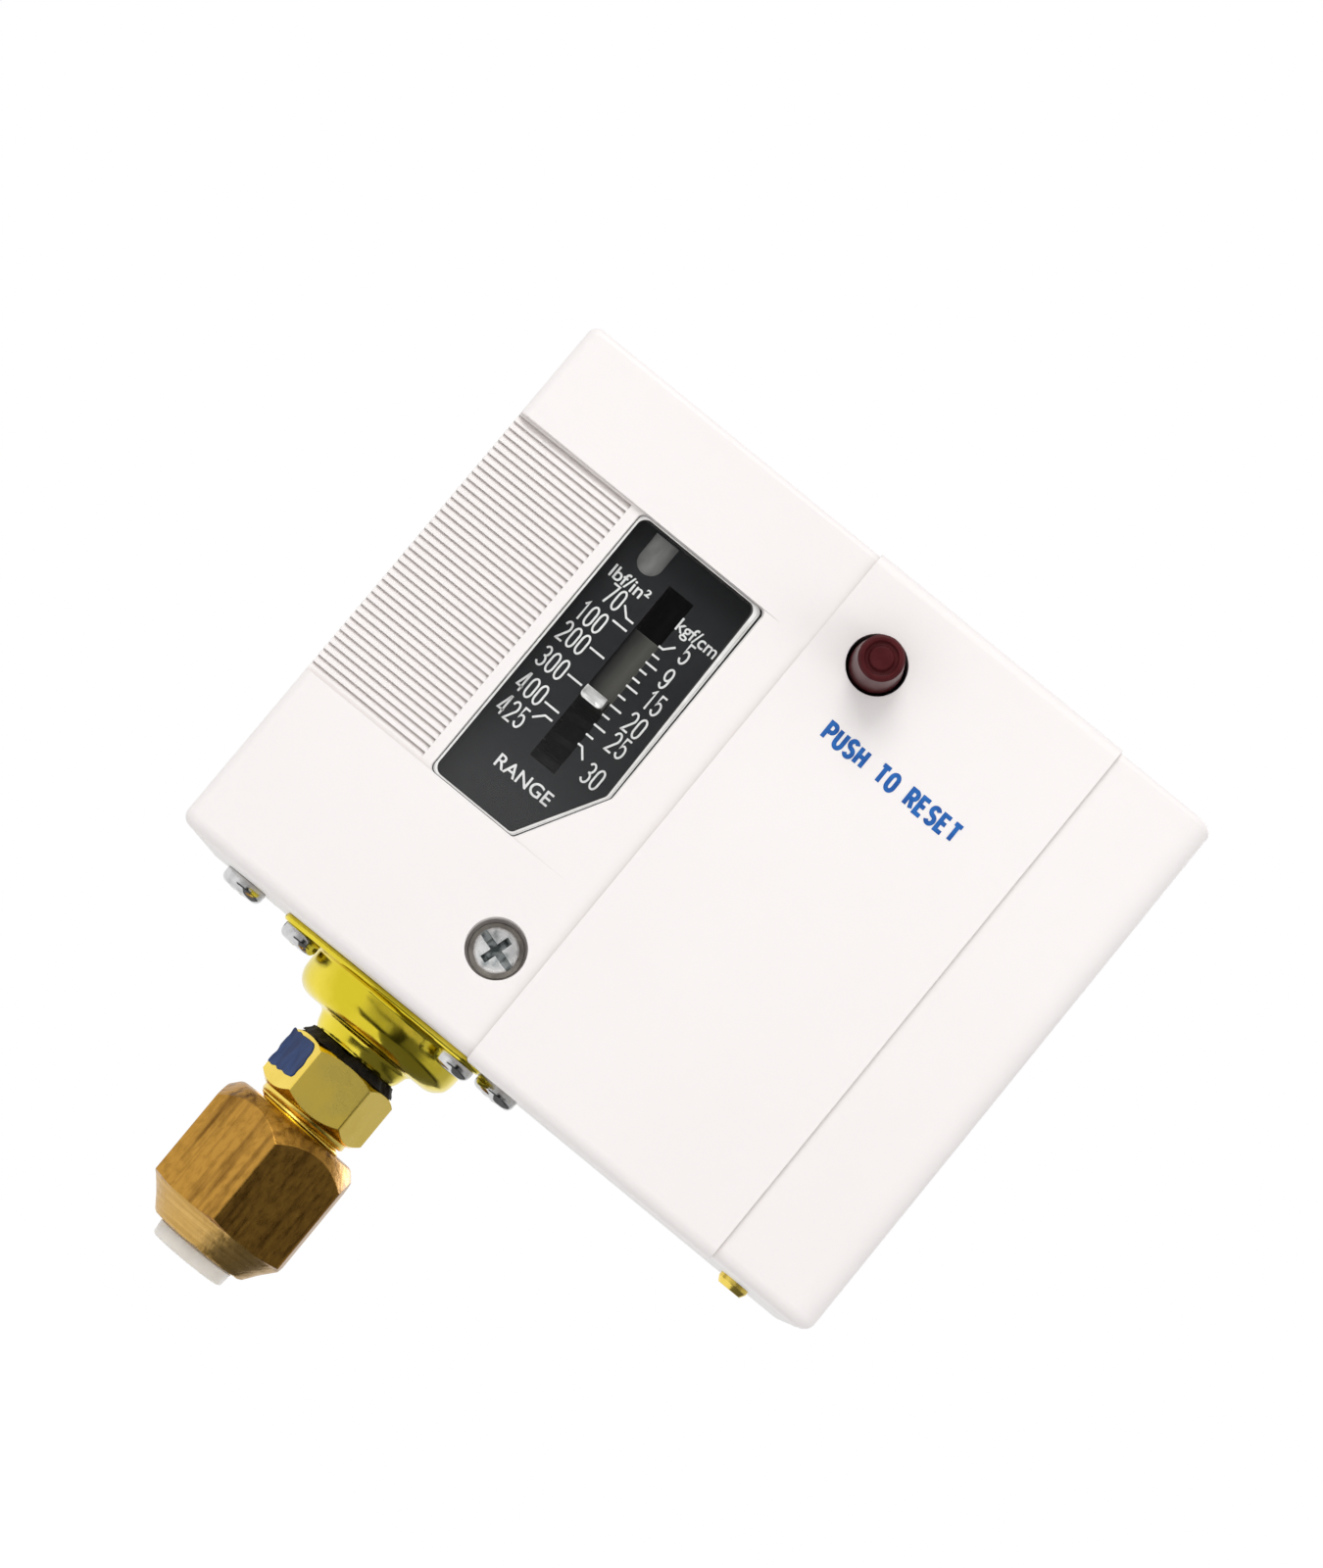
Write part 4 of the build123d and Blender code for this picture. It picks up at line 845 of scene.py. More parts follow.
# The flare connector: turned from bright hexagon brass bar, with its corners chamfered at
# both ends, a short collar and a rolled thread that runs down into the nut.
hex_flats = 12.0
hex_turn = 6.0
hex_bottom = -49.5
thread_radius = 5.45
thread_pitch = 1.27
thread_depth = 0.62
connector_bottom = -61.1
connector_bore = 2.0
corner_rounding = 0.06
# The angles across one flat, closer together towards its corners
hexagon_steps = (
    -30, -29.2, -28, -26, -23, -20, -16, -12, -8, -4, 0, 4, 8, 12, 16, 20, 23, 26, 28, 29.2,
)


def cut_curve(curve, limit):
    """The part of a (radius, height) curve from its start to where its radius reaches the limit."""
    kept = [curve[0]]
    for (r0, h0), (r1, h1) in zip(curve, curve[1:]):
        if r1 >= limit:
            share = (limit - r0) / (r1 - r0)
            kept.append((limit, h0 + (h1 - h0) * share))
            return kept
        kept.append((r1, h1))
    return kept


def spread_evenly(curve, count):
    """The same curve as evenly spaced points."""
    lengths = [math.dist(a, b) for a, b in zip(curve, curve[1:])]
    whole = sum(lengths)
    points = []
    for step in range(count):
        left_over = whole * step / (count - 1)
        for (start, end), length in zip(zip(curve, curve[1:]), lengths):
            if left_over <= length or (start, end) == (curve[-2], curve[-1]):
                share = min(left_over / length, 1.0) if length else 0.0
                points.append(
                    (start[0] + (end[0] - start[0]) * share, start[1] + (end[1] - start[1]) * share)
                )
                break
            left_over -= length
    return points


def hexagon_rings(flats, turn, top, bottom, rows=12):
    """Rings of a hexagon whose ends are turned: top and bottom are curves of (radius, height)
    from the end face out past the corners."""
    columns = []
    corner = flats / 2 / math.cos(math.radians(30)) - corner_rounding
    for side in range(6):
        for step in hexagon_steps:
            reach = min(flats / 2 / math.cos(math.radians(step)), corner)
            angle = math.radians(60 * side + 30 + step + turn)
            upper = spread_evenly(cut_curve(top, reach), rows)
            lower = spread_evenly(cut_curve(bottom, reach), rows)[::-1]
            start = upper[-1][1]
            end = lower[0][1]
            middle = [(reach, start + (end - start) * part / 8) for part in range(1, 8)]
            columns.append(
                [(r * math.cos(angle), r * math.sin(angle), h) for r, h in upper + middle + lower]
            )
    return [list(ring) for ring in zip(*columns)]


def at_pressure_axis(rings):
    """Rings moved from Z to the axis of the cup, the connector and the nut."""
    return [[(x + pressure_x, y + pressure_y, z) for x, y, z in ring] for ring in rings]


hex_top_curve = [
    (3.5, hex_top), (5.75, hex_top), (6.05, hex_top - 0.12), (6.5, hex_top - 0.42),
    (7.2, hex_top - 1.0),
]
hex_bottom_curve = [
    (5.0, hex_bottom), (5.5, hex_bottom), (5.85, hex_bottom + 0.18), (6.3, hex_bottom + 0.55),
    (7.2, hex_bottom + 1.35),
]
connector_hexagon = skin_of_rings(
    "flare_connector_hexagon",
    at_pressure_axis(hexagon_rings(hex_flats, hex_turn, hex_top_curve, hex_bottom_curve)),
)
finished_piece(
    "flare_connector_hexagon", connector_hexagon, bright_brass, "bright_brass", "housing", crease=25
)

thread_angles = angles_round(96)
collar_radius = 5.55
collar_profile = (
    (connector_bore, hex_bottom + 0.2), (collar_radius, hex_bottom + 0.1),
    (collar_radius, hex_bottom - 0.55), (collar_radius - 0.2, hex_bottom - 0.7),
)
thread_rings = turned_rings(collar_profile, thread_angles)
thread_start = hex_bottom - 0.8
thread_end = connector_bottom + 2.2
thread_step = 0.11
height = thread_start
while height > thread_end:
    ring = []
    for angle in thread_angles:
        phase = (height / thread_pitch + angle / (2 * math.pi)) % 1.0
        tooth = min(1.0, max(0.0, 1.35 * abs(2 * phase - 1) - 0.17))
        reach = thread_radius - thread_depth * (1 - tooth)
        ring.append((reach * math.cos(angle), reach * math.sin(angle), height))
    thread_rings.append(ring)
    height -= thread_step
flare_profile = (
    (4.75, connector_bottom + 2.1), (2.9, connector_bottom + 0.1), (connector_bore, connector_bottom),
)
thread_rings += turned_rings(flare_profile, thread_angles)
finished_piece(
    "flare_connector_thread",
    skin_of_rings("flare_connector_thread", at_pressure_axis(thread_rings), closed=True),
    bright_brass, "bright_brass", "housing", "flare_connector", crease=60,
)

# The paint dab: a fitter's mark brushed on the left flat of the hexagon in blue enamel,
# thick at its edges and ragged below.
dab_angle = math.radians(hex_turn - 150)
dab_normal = Vector((math.cos(dab_angle), math.sin(dab_angle), 0))
dab_along = Vector((-dab_normal.y, dab_normal.x, 0))
dab_middle = pressure_axis + dab_normal * hex_flats / 2
dab_left = -3.42
dab_right = 2.45
dab_top = -42.95
dab_bottom = -47.55
dab_corners = (
    (dab_left, dab_top), (dab_right, dab_top - 0.1), (dab_right + 0.1, dab_bottom + 0.2),
    (dab_left, dab_bottom),
)
dab_corner_radii = (0.25, 0.9, 0.5, 0.25)
dab_raggedness = 0.3
dab_ragged_size = 1.1
# The film of paint, thickest near its edge: the share of its outline, and how proud it is
dab_film = ((1.0, -0.05), (1.0, 0.03), (0.97, 0.09), (0.90, 0.06), (0.6, 0.05), (0.2, 0.05))


def ragged(outline, amount, size):
    """An outline with more points, each pushed in or out a little."""
    points = []
    for here in range(len(outline)):
        start = outline[here]
        end = outline[(here + 1) % len(outline)]
        pieces = max(1, int((end - start).length / 0.18))
        for piece in range(pieces):
            point = start.lerp(end, piece / pieces)
            push = noise.noise(Vector((point.x * size, point.y * size, 0.3)))
            points.append(point * (1 + amount * push / max(point.length, 1.0)))
    return points


dab_centre = Vector(((dab_left + dab_right) / 2, (dab_top + dab_bottom) / 2))
neat_dab = [p - dab_centre for p in rounded_outline(dab_corners, dab_corner_radii)]
dab_outline = [p + dab_centre for p in ragged(neat_dab, dab_raggedness, dab_ragged_size)]
dab_rings = []
for share, proud in dab_film:
    ring = []
    for point in dab_outline:
        flat = dab_centre + (point - dab_centre) * share
        spot = dab_middle + dab_along * flat.x + dab_normal * proud
        ring.append((spot.x, spot.y, flat.y))
    dab_rings.append(ring)
blue_paint, tree, shader = new_finish("blue_paint", (0.015, 0.05, 0.18, 1), 0.35)
shader.inputs["Specular IOR Level"].default_value = 0.25
brush = fine_noise(tree, 900, 4.0, (1, 1, 0.35))
shade(tree, shader, brush, (0.005, 0.024, 0.11, 1), (0.015, 0.06, 0.22, 1))
relief(tree, shader, brush, 0.00006)
finished_piece(
    "paint_dab", skin_of_rings("paint_dab", dab_rings), blue_paint, "bright_brass", "housing",
    crease=60,
)

# The flare nut: a long nut forged hot from brass, its flats left as forged, darker than the turned parts
# and streaked along their length. Its shoulder and its nose are turned, and the nose is coloured bright.
nut_flats = 17.0
nut_turn = 30.0
nut_top = -50.9
nut_hex_bottom = -64.3
nut_bottom = -67.7
nut_bore = 5.65
tube_bore = 3.3
nut_top_curve = [(nut_bore + 0.4, nut_top), (7.1, nut_top)]
nut_top_curve += bend((7.1, nut_top - 0.9), 0.9, 80, 40, 4)
nut_top_curve += [
    (8.5, nut_top - 1.15), (9.1, nut_top - 1.9), (9.8, nut_top - 2.85), (10.4, nut_top - 3.8),
]
nut_nose_curve = [(tube_bore + 0.2, nut_bottom), (5.7, nut_bottom)]
nut_nose_curve += bend((5.7, nut_bottom + 0.45), 0.45, -80, -35, 4)
nut_nose_curve += [(7.2, nut_bottom + 1.75), (8.42, nut_hex_bottom - 0.25), (8.6, nut_hex_bottom - 0.05)]
nut_nose_curve += [(9.3, nut_hex_bottom + 0.18), (10.4, nut_hex_bottom + 0.6)]
nut_rings = hexagon_rings(nut_flats, nut_turn, nut_top_curve, nut_nose_curve, rows=16)
nut_angles = [math.atan2(y, x) for x, y, z in nut_rings[0]]
nut_inside = (
    (tube_bore, nut_bottom + 0.2), (tube_bore, connector_bottom - 1.2),
    (nut_bore, connector_bottom + 1.2), (nut_bore, nut_top - 0.4),
)
nut_rings += turned_rings(nut_inside, nut_angles)
forged_brass, tree, shader = new_finish("dark_brass", (0.60, 0.34, 0.085, 1), 0.34, metal=1.0)
streak = fine_noise(tree, 900, 6.0, (1, 1, 0.06))
mottle = fine_noise(tree, 1500, 6.0, (1, 1, 0.6))
forge_dark = (0.22, 0.105, 0.022, 1)
forge_light = (0.52, 0.275, 0.052, 1)
streaked = between(tree, streak, forge_dark, forge_light, 0.32, 0.50)
mottled = between(tree, mottle, (0.78, 0.76, 0.74, 1), (1.0, 1.0, 1.0, 1), 0.34, 0.56)


def multiplied(tree, first, second):
    """One colour times another."""
    mix = tree.nodes.new("ShaderNodeMix")
    mix.data_type = "RGBA"
    mix.blend_type = "MULTIPLY"
    mix.inputs["Factor"].default_value = 1.0
    tree.links.new(first, mix.inputs["A"])
    tree.links.new(second, mix.inputs["B"])
    return mix.outputs["Result"]


place = tree.nodes.new("ShaderNodeTexCoord")
height_of = tree.nodes.new("ShaderNodeSeparateXYZ")
tree.links.new(place.outputs["Object"], height_of.inputs["Vector"])
nose = tree.nodes.new("ShaderNodeMath")
nose.operation = "LESS_THAN"
nose.inputs[1].default_value = (nut_hex_bottom - 0.02) * mm
tree.links.new(height_of.outputs["Z"], nose.inputs[0])
lathe = fine_noise(tree, 700, 3.0, (0.15, 0.15, 4.0))
lathe_lines = between(tree, lathe, (0.50, 0.30, 0.08, 1), (0.68, 0.43, 0.14, 1))
ends = tree.nodes.new("ShaderNodeMix")
ends.data_type = "RGBA"
tree.links.new(nose.outputs["Value"], ends.inputs["Factor"])
tree.links.new(multiplied(tree, streaked, mottled), ends.inputs["A"])
tree.links.new(lathe_lines, ends.inputs["B"])
tree.links.new(ends.outputs["Result"], shader.inputs["Base Color"])
gloss(tree, shader, mottle, 0.24, 0.42)
relief(tree, shader, mottle, 0.00006, edge=0.0002)
finished_piece(
    "flare_nut_forging", skin_of_rings("flare_nut_forging", at_pressure_axis(nut_rings), closed=True),
    forged_brass, "dark_brass", "nut", "flare_nut", crease=25,
)

# The dust plug: a hollow cap of pale translucent polyethylene with a rounded rim, pushed
# into the nose of the nut.
plug_bottom = -69.6
plug_profile = [(0.05, plug_bottom + 1.1), (2.2, plug_bottom + 1.1), (2.6, plug_bottom + 0.7)]
plug_profile += bend((3.3, plug_bottom + 0.3), 0.3, 180, 270, 4)
plug_profile += bend((4.25, plug_bottom + 0.4), 0.4, -90, -8, 5)
plug_profile += [(4.8, nut_bottom - 0.25), (4.65, nut_bottom - 0.03), (3.2, nut_bottom - 0.03)]
plug_end = connector_bottom - 0.9
plug_profile += [(3.2, plug_end - 0.6), (2.8, plug_end), (0.05, plug_end)]
plug_plastic, tree, shader = new_finish("white_plug", (0.80, 0.76, 0.70, 1), 0.35)
shader.inputs["Subsurface Weight"].default_value = 0.5
shader.inputs["Subsurface Radius"].default_value = (0.002, 0.0017, 0.0013)
milk = fine_noise(tree, 250, 3.0)
shade(tree, shader, milk, (0.70, 0.65, 0.58, 1), (0.82, 0.78, 0.72, 1))
plug_rings = at_pressure_axis(turned_rings(plug_profile, angles_round(96)))
finished_piece(
    "dust_plug", skin_of_rings("dust_plug", plug_rings), plug_plastic, "white_plug", "plug",
    "nut_plug",
)

# The front cover: one moulded tray in a pale, slightly warm white plastic.
# It has a fine matt skin from the mould and a faint drift of tone, and its raised band,
# ribbed panel and window opening are in the solid.
cover_light = (0.90, 0.862, 0.85, 1)
cover_shadow = (0.875, 0.832, 0.82, 1)
cover_plastic, tree, shader = new_finish("cover_plastic", cover_light, 0.42)
skin = fine_noise(tree, 2600, 2.0)
relief(tree, shader, skin, 0.000008, edge=0.00012)
cloud = fine_noise(tree, 18, 3.0)
gloss(tree, shader, cloud, 0.38, 0.48)
shader.inputs["Specular IOR Level"].default_value = 0.4
# Painted shade: ambient occlusion darkens the colour in the rib grooves, the corners and the recesses of
# the cover.
nook_occlusion = tree.nodes.new("ShaderNodeAmbientOcclusion")
nook_occlusion.samples = 8
nook_occlusion.inputs["Distance"].default_value = 0.0012
nook_shade_tone = (0.80, 0.785, 0.77, 1)
unshaded_tone = (1, 1, 1, 1)
drift = between(tree, cloud, cover_shadow, cover_light)
painted_nook_shade = between(tree, nook_occlusion.outputs["AO"], nook_shade_tone, unshaded_tone, 0.35, 0.85)
tree.links.new(multiplied(tree, drift, painted_nook_shade), shader.inputs["Base Color"])
dress("front_cover", cover_plastic)

# The words on the cover: screen-printed in blue ink on the raised band, under the button.
# The ink lies on the plastic as a film a few hundredths of a millimetre thick.
band_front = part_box("front_cover")[0].y
reset_words_height = 0.00235
reset_words_base = 0.01478
reset_letter_width = 0.00130
reset_letter_advance = 0.00140
reset_words_weight = 0.00048
# Each word and its left edge
reset_words_places = (("PUSH", 0.00372), ("TO", 0.01066), ("RESET", 0.01466))
blue_ink, tree, shader = new_finish("blue_ink", (0.006, 0.10, 0.40, 1), 0.35)
blotch = fine_noise(tree, 900, 3.0)
shade(tree, shader, blotch, (0.004, 0.075, 0.33, 1), (0.010, 0.14, 0.48, 1))
reset_strokes = []
for word, left in reset_words_places:
    reset_strokes += lettered(
        word, left, reset_words_base, reset_letter_width, reset_letter_advance, reset_words_height,
        reset_words_weight,
    )
reset_words = printed_strokes("reset_words", reset_strokes, reset_words_weight, band_front, blue_ink)
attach(reset_words, "housing")

# The window: a clear pad of polished plastic, set into the opening from behind. A moulded double edge
# runs round it, widest at the right and along the cut corner. Its faces carry bright and dark lines that
# frame the scale: the bright lines are painted highlights and the dark ones painted shade.
lens_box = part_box("window_lens")
lens_front = lens_box[0].y / mm
lens_back = lens_box[1].y / mm
outer_corners = ((-25.5, 21.6), (-8.7, 21.6), (-8.7, -3.8), (-14.1, -13.5), (-25.5, -13.5))
inner_corners = ((-25.02, 21.28), (-9.95, 21.28), (-9.45, -4.0), (-14.75, -13.15), (-25.02, -13.15))
outer_outline = rounded_outline(outer_corners, (0.7, 0.7, 0.7, 0.5, 0.7), 8)
inner_outline = rounded_outline(inner_corners, (1.1, 1.1, 0.9, 0.7, 1.1), 8)
# Each step of the edge: its share of the way in, its depth behind the front, its finish (0 clear, 1
# painted highlight, 2 painted shade)
edge_steps = (
    (0.0, 0.50, 0), (0.02, 0.02, 1), (0.14, 0.0, 1), (0.30, 0.0, 0), (0.36, 0.25, 0), (0.46, 0.25, 1),
    (0.52, 0.0, 1), (0.86, 0.0, 1), (1.0, 0.16, 2),
)
lens_shape = bmesh.new()
lens_rows = []
for share, depth, finish_number in edge_steps:
    row = []
    for outside, inside in zip(outer_outline, inner_outline):
        spot = outside.lerp(inside, share)
        row.append(lens_shape.verts.new((spot.x * mm, (lens_front + depth) * mm, spot.y * mm)))
    lens_rows.append(row)
back_row = [lens_shape.verts.new((p.x * mm, lens_back * mm, p.y * mm)) for p in outer_outline]
for low, high, (share, depth, finish_number) in zip(lens_rows, lens_rows[1:], edge_steps[1:]):
    for here in range(len(low)):
        beyond = (here + 1) % len(low)
        face = lens_shape.faces.new((low[here], low[beyond], high[beyond], high[here]))
        face.material_index = finish_number
for here in range(len(back_row)):
    beyond = (here + 1) % len(back_row)
    lens_shape.faces.new((back_row[here], back_row[beyond], lens_rows[0][beyond], lens_rows[0][here]))
pane = lens_shape.faces.new(lens_rows[-1])
pane.material_index = 0
lens_shape.faces.new(back_row)
bmesh.ops.recalc_face_normals(lens_shape, faces=lens_shape.faces)
lens_mesh = bpy.data.meshes.new("window_pad")
lens_shape.to_mesh(lens_mesh)
lens_shape.free()
lens_plastic, tree, shader = new_finish("clear_lens", (0.97, 0.98, 0.98, 1), 0.0)
shader.inputs["Transmission Weight"].default_value = 1.0
shader.inputs["IOR"].default_value = 1.49
smear = fine_noise(tree, 120, 3.0, (1, 1, 0.4))
shade(tree, shader, smear, (0.955, 0.965, 0.965, 1), (0.985, 0.99, 0.99, 1))
# Painted highlight: the bright lines round the window are a pale colour, not light caught by the edge.
lens_edge_highlight, tree, shader = new_finish("lens_edge_highlight", (0.86, 0.85, 0.83, 1), 0.2)
glint = fine_noise(tree, 500, 3.0)
shade(tree, shader, glint, (0.74, 0.73, 0.71, 1), (0.92, 0.91, 0.90, 1))
# Painted shade: the dark lines round the window are a near-black colour.
lens_shadow, tree, shader = new_finish("lens_shadow", (0.03, 0.03, 0.03, 1), 0.3)
lens_shade_mottle = fine_noise(tree, 500, 3.0)
shade(tree, shader, lens_shade_mottle, (0.02, 0.02, 0.02, 1), (0.07, 0.065, 0.06, 1))
window_pad = finished_piece(
    "window_pad", lens_mesh, lens_plastic, "clear_lens", "housing", "window_lens", crease=20
)
lens_mesh.materials.append(lens_edge_highlight)
lens_mesh.materials.append(lens_shadow)
window_pad.visible_shadow = False
window_pad.visible_diffuse = False
window_pad.visible_glossy = False

# The cover screw: a bright zinc-plated combination head with a long slot and a cross,
# on a flat washer, deep in its round recess. It holds the cover to the chassis strip.
cover_screw_x = -8.1
cover_screw_z = -23.5
cover_screw_seat = -38.4
cover_screw_turn = -16
combination_profile = [(1.05, -12.0), (1.5, -11.5), (1.5, 0.0), (2.95, 0.0)]
combination_profile += bend((2.85, 0.12), 0.12, -30, 90, 4)
combination_profile += bend((2.85, 0.38), 0.12, 0, 90, 3)
combination_profile += [(2.55, 0.5), (2.42, 0.55), (2.42, 1.2)]
combination_profile += bend((1.95, 1.35), 0.47, 0, 75, 6)
combination_profile += [(1.2, 1.88), (0.05, 1.92)]
combination_head = skin_of_rings(
    "cover_screw_head", turned_rings(combination_profile, angles_round(96))
)
washer_from_radius = 2.45
for face in combination_head.polygons:
    if math.hypot(face.center.x, face.center.y) > washer_from_radius * mm:
        face.material_index = 2
slot_reach = 3.2
slot_rings = []
# The slot widens upwards: each height in the head, and half the slot's width there
for height, half in ((1.05, 0.36), (3.0, 0.46)):
    slot_rings.append(
        [
            (-slot_reach, -half, height), (slot_reach, -half, height),
            (slot_reach, half, height), (-slot_reach, half, height),
        ]
    )
slot_cutter = skin_of_rings("cover_screw_slot", slot_rings)
star_cutter = cross_cutter("cover_screw_cross", 1.75, 0.42, 1.9, 0.6)
for cutter in (slot_cutter, star_cutter):
    for face in cutter.polygons:
        face.material_index = 1
    combination_head = cut_out(combination_head, cutter)
bright_zinc, tree, shader = new_finish("bright_zinc", (0.80, 0.84, 0.84, 1), 0.24, metal=0.55)
film = fine_noise(tree, 900, 4.0)
shade(tree, shader, film, (0.46, 0.50, 0.50, 1), (0.92, 0.94, 0.94, 1), 0.34, 0.50)
gloss(tree, shader, film, 0.18, 0.32)
relief(tree, shader, film, 0.00004, edge=0.00008)
cover_screw = finished_piece(
    "cover_screw_head",
    placed_copies(
        "cover_screw_head", combination_head,
        [((cover_screw_x, cover_screw_seat, cover_screw_z), (0, -1, 0), cover_screw_turn)],
    ),
    bright_zinc, "zinc_steel", "housing", "cover_screw", crease=30,
)
# Painted shade and glints: the faces of the slot and the cross are given a dark tone as painted shade,
# broken by noisy bright patches as painted glints.
recess_shade_zinc, tree, shader = new_finish("recess_shade_zinc", (0.16, 0.18, 0.18, 1), 0.35, metal=0.7)
film = fine_noise(tree, 900, 4.0)
shade(tree, shader, film, (0.10, 0.12, 0.12, 1), (0.52, 0.56, 0.56, 1), 0.40, 0.56)
cover_screw.data.materials.append(recess_shade_zinc)
washer_steel, tree, shader = new_finish("washer_steel", (0.20, 0.19, 0.17, 1), 0.3, metal=0.8)
rub = fine_noise(tree, 700, 3.0)
shade(tree, shader, rub, (0.24, 0.23, 0.205, 1), (0.46, 0.44, 0.40, 1))
cover_screw.data.materials.append(washer_steel)

# The reset button: a maroon moulding with a ringed end, that stands out of its hole on a
# spring. The switch plunger is made of the same plastic.
maroon, tree, shader = new_finish("maroon_plastic", (0.07, 0.011, 0.013, 1), 0.3)
swirl = fine_noise(tree, 500, 3.0)
shade(tree, shader, swirl, (0.058, 0.008, 0.010, 1), (0.085, 0.014, 0.016, 1))
shader.inputs["Specular IOR Level"].default_value = 0.12
relief(tree, shader, swirl, 0.00001, edge=0.00015)
for name in ("reset_button", "switch_plunger"):
    dress(name, maroon)

# The studio: a pale floor below the switch, a white surround, soft lamps, and a curved card at the right
# of the camera, as photographers set one up. The card glows in grey tones of its own and shows only in
# reflections, where its tones are painted reflections on the shiny metal and the window.
floor_gap = 0.12
floor_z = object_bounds()[0].z - floor_gap
floor_half = 1.5
floor_mesh = bpy.data.meshes.new("floor")
floor_mesh.from_pydata(
    [
        (-floor_half, -floor_half, floor_z),
        (floor_half, -floor_half, floor_z),
        (floor_half, floor_half, floor_z),
        (-floor_half, floor_half, floor_z),
    ],
    [],
    [(0, 1, 2, 3)],
)
floor = placed("floor", floor_mesh)
floor.visible_glossy = False
floor_paper, tree, shader = new_finish("floor_paper", (0.85, 0.85, 0.85, 1), 0.9)
fibre = fine_noise(tree, 60, 3.0)
shade(tree, shader, fibre, (0.84, 0.84, 0.84, 1), (0.86, 0.86, 0.86, 1))
floor_mesh.materials.append(floor_paper)
floor_whitening = 0.6
white_light = tree.nodes.new("ShaderNodeEmission")
white_light.inputs["Color"].default_value = (1, 1, 1, 1)
white_light.inputs["Strength"].default_value = 1.4
seen = tree.nodes.new("ShaderNodeLightPath")
choose = tree.nodes.new("ShaderNodeMixShader")
whitened = tree.nodes.new("ShaderNodeMath")
whitened.operation = "MULTIPLY"
whitened.inputs[1].default_value = floor_whitening
tree.links.new(seen.outputs["Is Camera Ray"], whitened.inputs[0])
tree.links.new(whitened.outputs["Value"], choose.inputs["Fac"])
tree.links.new(shader.outputs["BSDF"], choose.inputs[1])
tree.links.new(white_light.outputs["Emission"], choose.inputs[2])
tree.links.new(choose.outputs["Shader"], tree.nodes["Material Output"].inputs["Surface"])

card_distance = 0.9
# Each upright strip of the card: its angle to the right of the front, and how bright it is
card_strips = (
    (-34, 1.0), (-22, 0.80), (-9, 0.58), (0, 0.52), (10, 0.56), (15, 0.45), (19, 0.12), (23, 0.02),
    (34, 0.02), (40, 0.15), (60, 0.15), (68, 0.30), (80, 0.50), (125, 0.50), (150, 0.9),
)
# Each level of the card: its height, and the most that a strip shines there. The window
# mirrors the upper levels, and the undersides of the screws the lowest one.
card_levels = (
    (-0.75, 0.04), (-0.42, 0.04), (-0.26, 1.0), (0.03, 1.0), (0.07, 0.06), (0.22, 0.06),
    (0.34, 1.0),
)
card_mesh = bpy.data.meshes.new("grey_card")
card_points = []
card_shine = []
for angle, tone in card_strips:
    for height, most in card_levels:
        card_points.append(
            (
                card_distance * math.sin(math.radians(angle)),
                -card_distance * math.cos(math.radians(angle)),
                height,
            )
        )
        card_shine.append(min(tone, most))
low_sheet = ((0.04, -0.60), (0.60, -0.60), (0.60, 0.60), (0.04, 0.60))
low_sheet_z = -0.42
low_sheet_tone = 0.14
card_faces = [[len(card_points) + corner for corner in range(4)]]
for x, y in low_sheet:
    card_points.append((x, y, low_sheet_z))
    card_shine.append(low_sheet_tone)
for strip in range(len(card_strips) - 1):
    for level in range(len(card_levels) - 1):
        corner = strip * len(card_levels) + level
        beyond = corner + len(card_levels)
        card_faces.append((corner, beyond, beyond + 1, corner + 1))
card_mesh.from_pydata(card_points, [], card_faces)
tones = card_mesh.color_attributes.new("tone", "FLOAT_COLOR", "POINT")
for number, shine in enumerate(card_shine):
    tones.data[number].color = (shine, shine, shine, 1)
grey_card = placed("grey_card", card_mesh)
grey_card.visible_camera = False
grey_card.visible_diffuse = False
grey_card.visible_shadow = False
grey_card.visible_transmission = False
card_grey = bpy.data.materials.new("card_grey")
card_grey.use_nodes = True
tree = card_grey.node_tree
tree.nodes.remove(tree.nodes["Principled BSDF"])
painted = tree.nodes.new("ShaderNodeVertexColor")
painted.layer_name = "tone"
glow = tree.nodes.new("ShaderNodeEmission")
tree.links.new(painted.outputs["Color"], glow.inputs["Color"])
tree.links.new(glow.outputs["Emission"], tree.nodes["Material Output"].inputs["Surface"])
card_mesh.materials.append(card_grey)

world = bpy.data.worlds.new("studio")
bpy.context.scene.world = world
world.use_nodes = True
tree = world.node_tree
fill_light = tree.nodes["Background"]
fill_light.inputs["Color"].default_value = (1, 1, 1, 1)
fill_light.inputs["Strength"].default_value = 0.62
backdrop = tree.nodes.new("ShaderNodeBackground")
backdrop.inputs["Color"].default_value = (1, 1, 1, 1)
backdrop.inputs["Strength"].default_value = 1.0
seen = tree.nodes.new("ShaderNodeLightPath")
either = tree.nodes.new("ShaderNodeMath")
either.operation = "MAXIMUM"
any_clear = tree.nodes.new("ShaderNodeMath")
any_clear.operation = "MAXIMUM"
choose = tree.nodes.new("ShaderNodeMixShader")
tree.links.new(seen.outputs["Is Camera Ray"], either.inputs[0])
tree.links.new(seen.outputs["Is Glossy Ray"], either.inputs[1])
tree.links.new(either.outputs["Value"], any_clear.inputs[0])
tree.links.new(seen.outputs["Is Transmission Ray"], any_clear.inputs[1])
tree.links.new(any_clear.outputs["Value"], choose.inputs["Fac"])
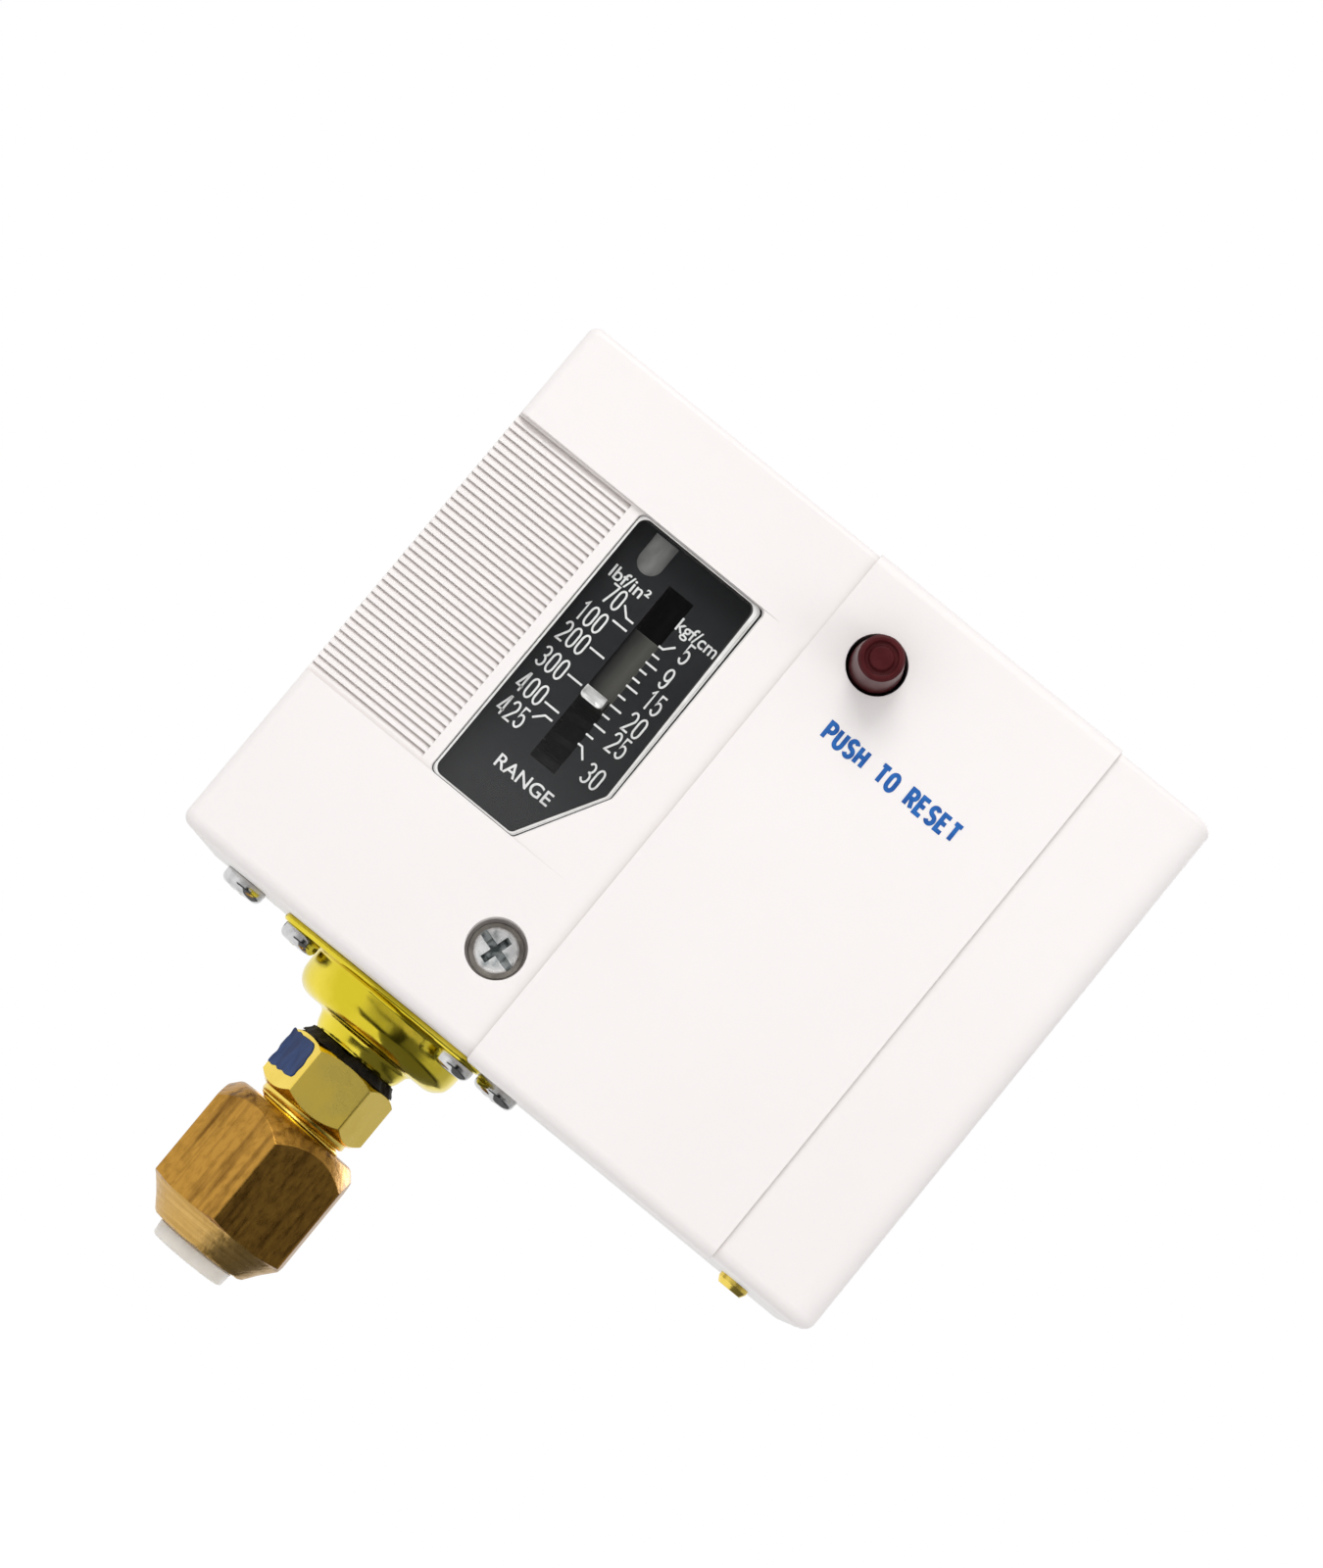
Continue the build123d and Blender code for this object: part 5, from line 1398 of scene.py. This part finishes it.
tree.links.new(fill_light.outputs["Background"], choose.inputs[1])
tree.links.new(backdrop.outputs["Background"], choose.inputs[2])
tree.links.new(choose.outputs["Shader"], tree.nodes["World Output"].inputs["Surface"])


def soft_lamp(name, place, size, watts):
    """A square soft box that points at the middle of the switch."""
    lamp = bpy.data.lights.new(name, "AREA")
    lamp.size = size
    lamp.energy = watts
    holder = placed(name, lamp)
    holder.location = place
    holder.rotation_mode = "QUATERNION"
    holder.rotation_quaternion = (-Vector(place)).to_track_quat("-Z", "Y")
    return holder


soft_lamp("key_lamp", (-0.35, -0.75, 0.65), 0.5, 4.4)
side_lamp = soft_lamp("side_lamp", (0.7, -0.5, 0.1), 0.4, 1.2)
side_lamp.visible_glossy = False
soft_lamp("back_lamp", (0.45, 0.85, 0.45), 0.5, 3.0)

# The camera looks almost square at the front, from a little below and to the right, and is
# turned so that the switch lies aslant in the picture, as it was photographed.
camera_distance = 0.45
camera_lens = 99.6
camera_azimuth = math.radians(2.0)
camera_elevation = math.radians(-5.5)
camera_roll = math.radians(39.55)
picture_offset_right = -0.00407
picture_offset_up = 0.00407
front_centre = Vector((0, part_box("front_cover")[0].y, 0))

camera_data = bpy.data.cameras.new("camera")
camera_data.lens = camera_lens
camera_data.sensor_width = 36
camera_data.sensor_fit = "AUTO"
camera_data.clip_start = 0.01
camera_data.clip_end = 10
camera = placed("camera", camera_data)
back = Vector((
    math.sin(camera_azimuth) * math.cos(camera_elevation),
    -math.cos(camera_azimuth) * math.cos(camera_elevation),
    math.sin(camera_elevation),
))
level_right = Vector((0, 0, 1)).cross(back).normalized()
level_up = back.cross(level_right)
right = level_right * math.cos(camera_roll) + level_up * math.sin(camera_roll)
up = level_up * math.cos(camera_roll) - level_right * math.sin(camera_roll)
aim = front_centre + right * picture_offset_right + up * picture_offset_up
turn = Matrix((right, up, back)).transposed()
camera.matrix_world = Matrix.Translation(aim + back * camera_distance) @ turn.to_4x4()
bpy.context.scene.camera = camera
bpy.context.scene.view_settings.view_transform = "Standard"
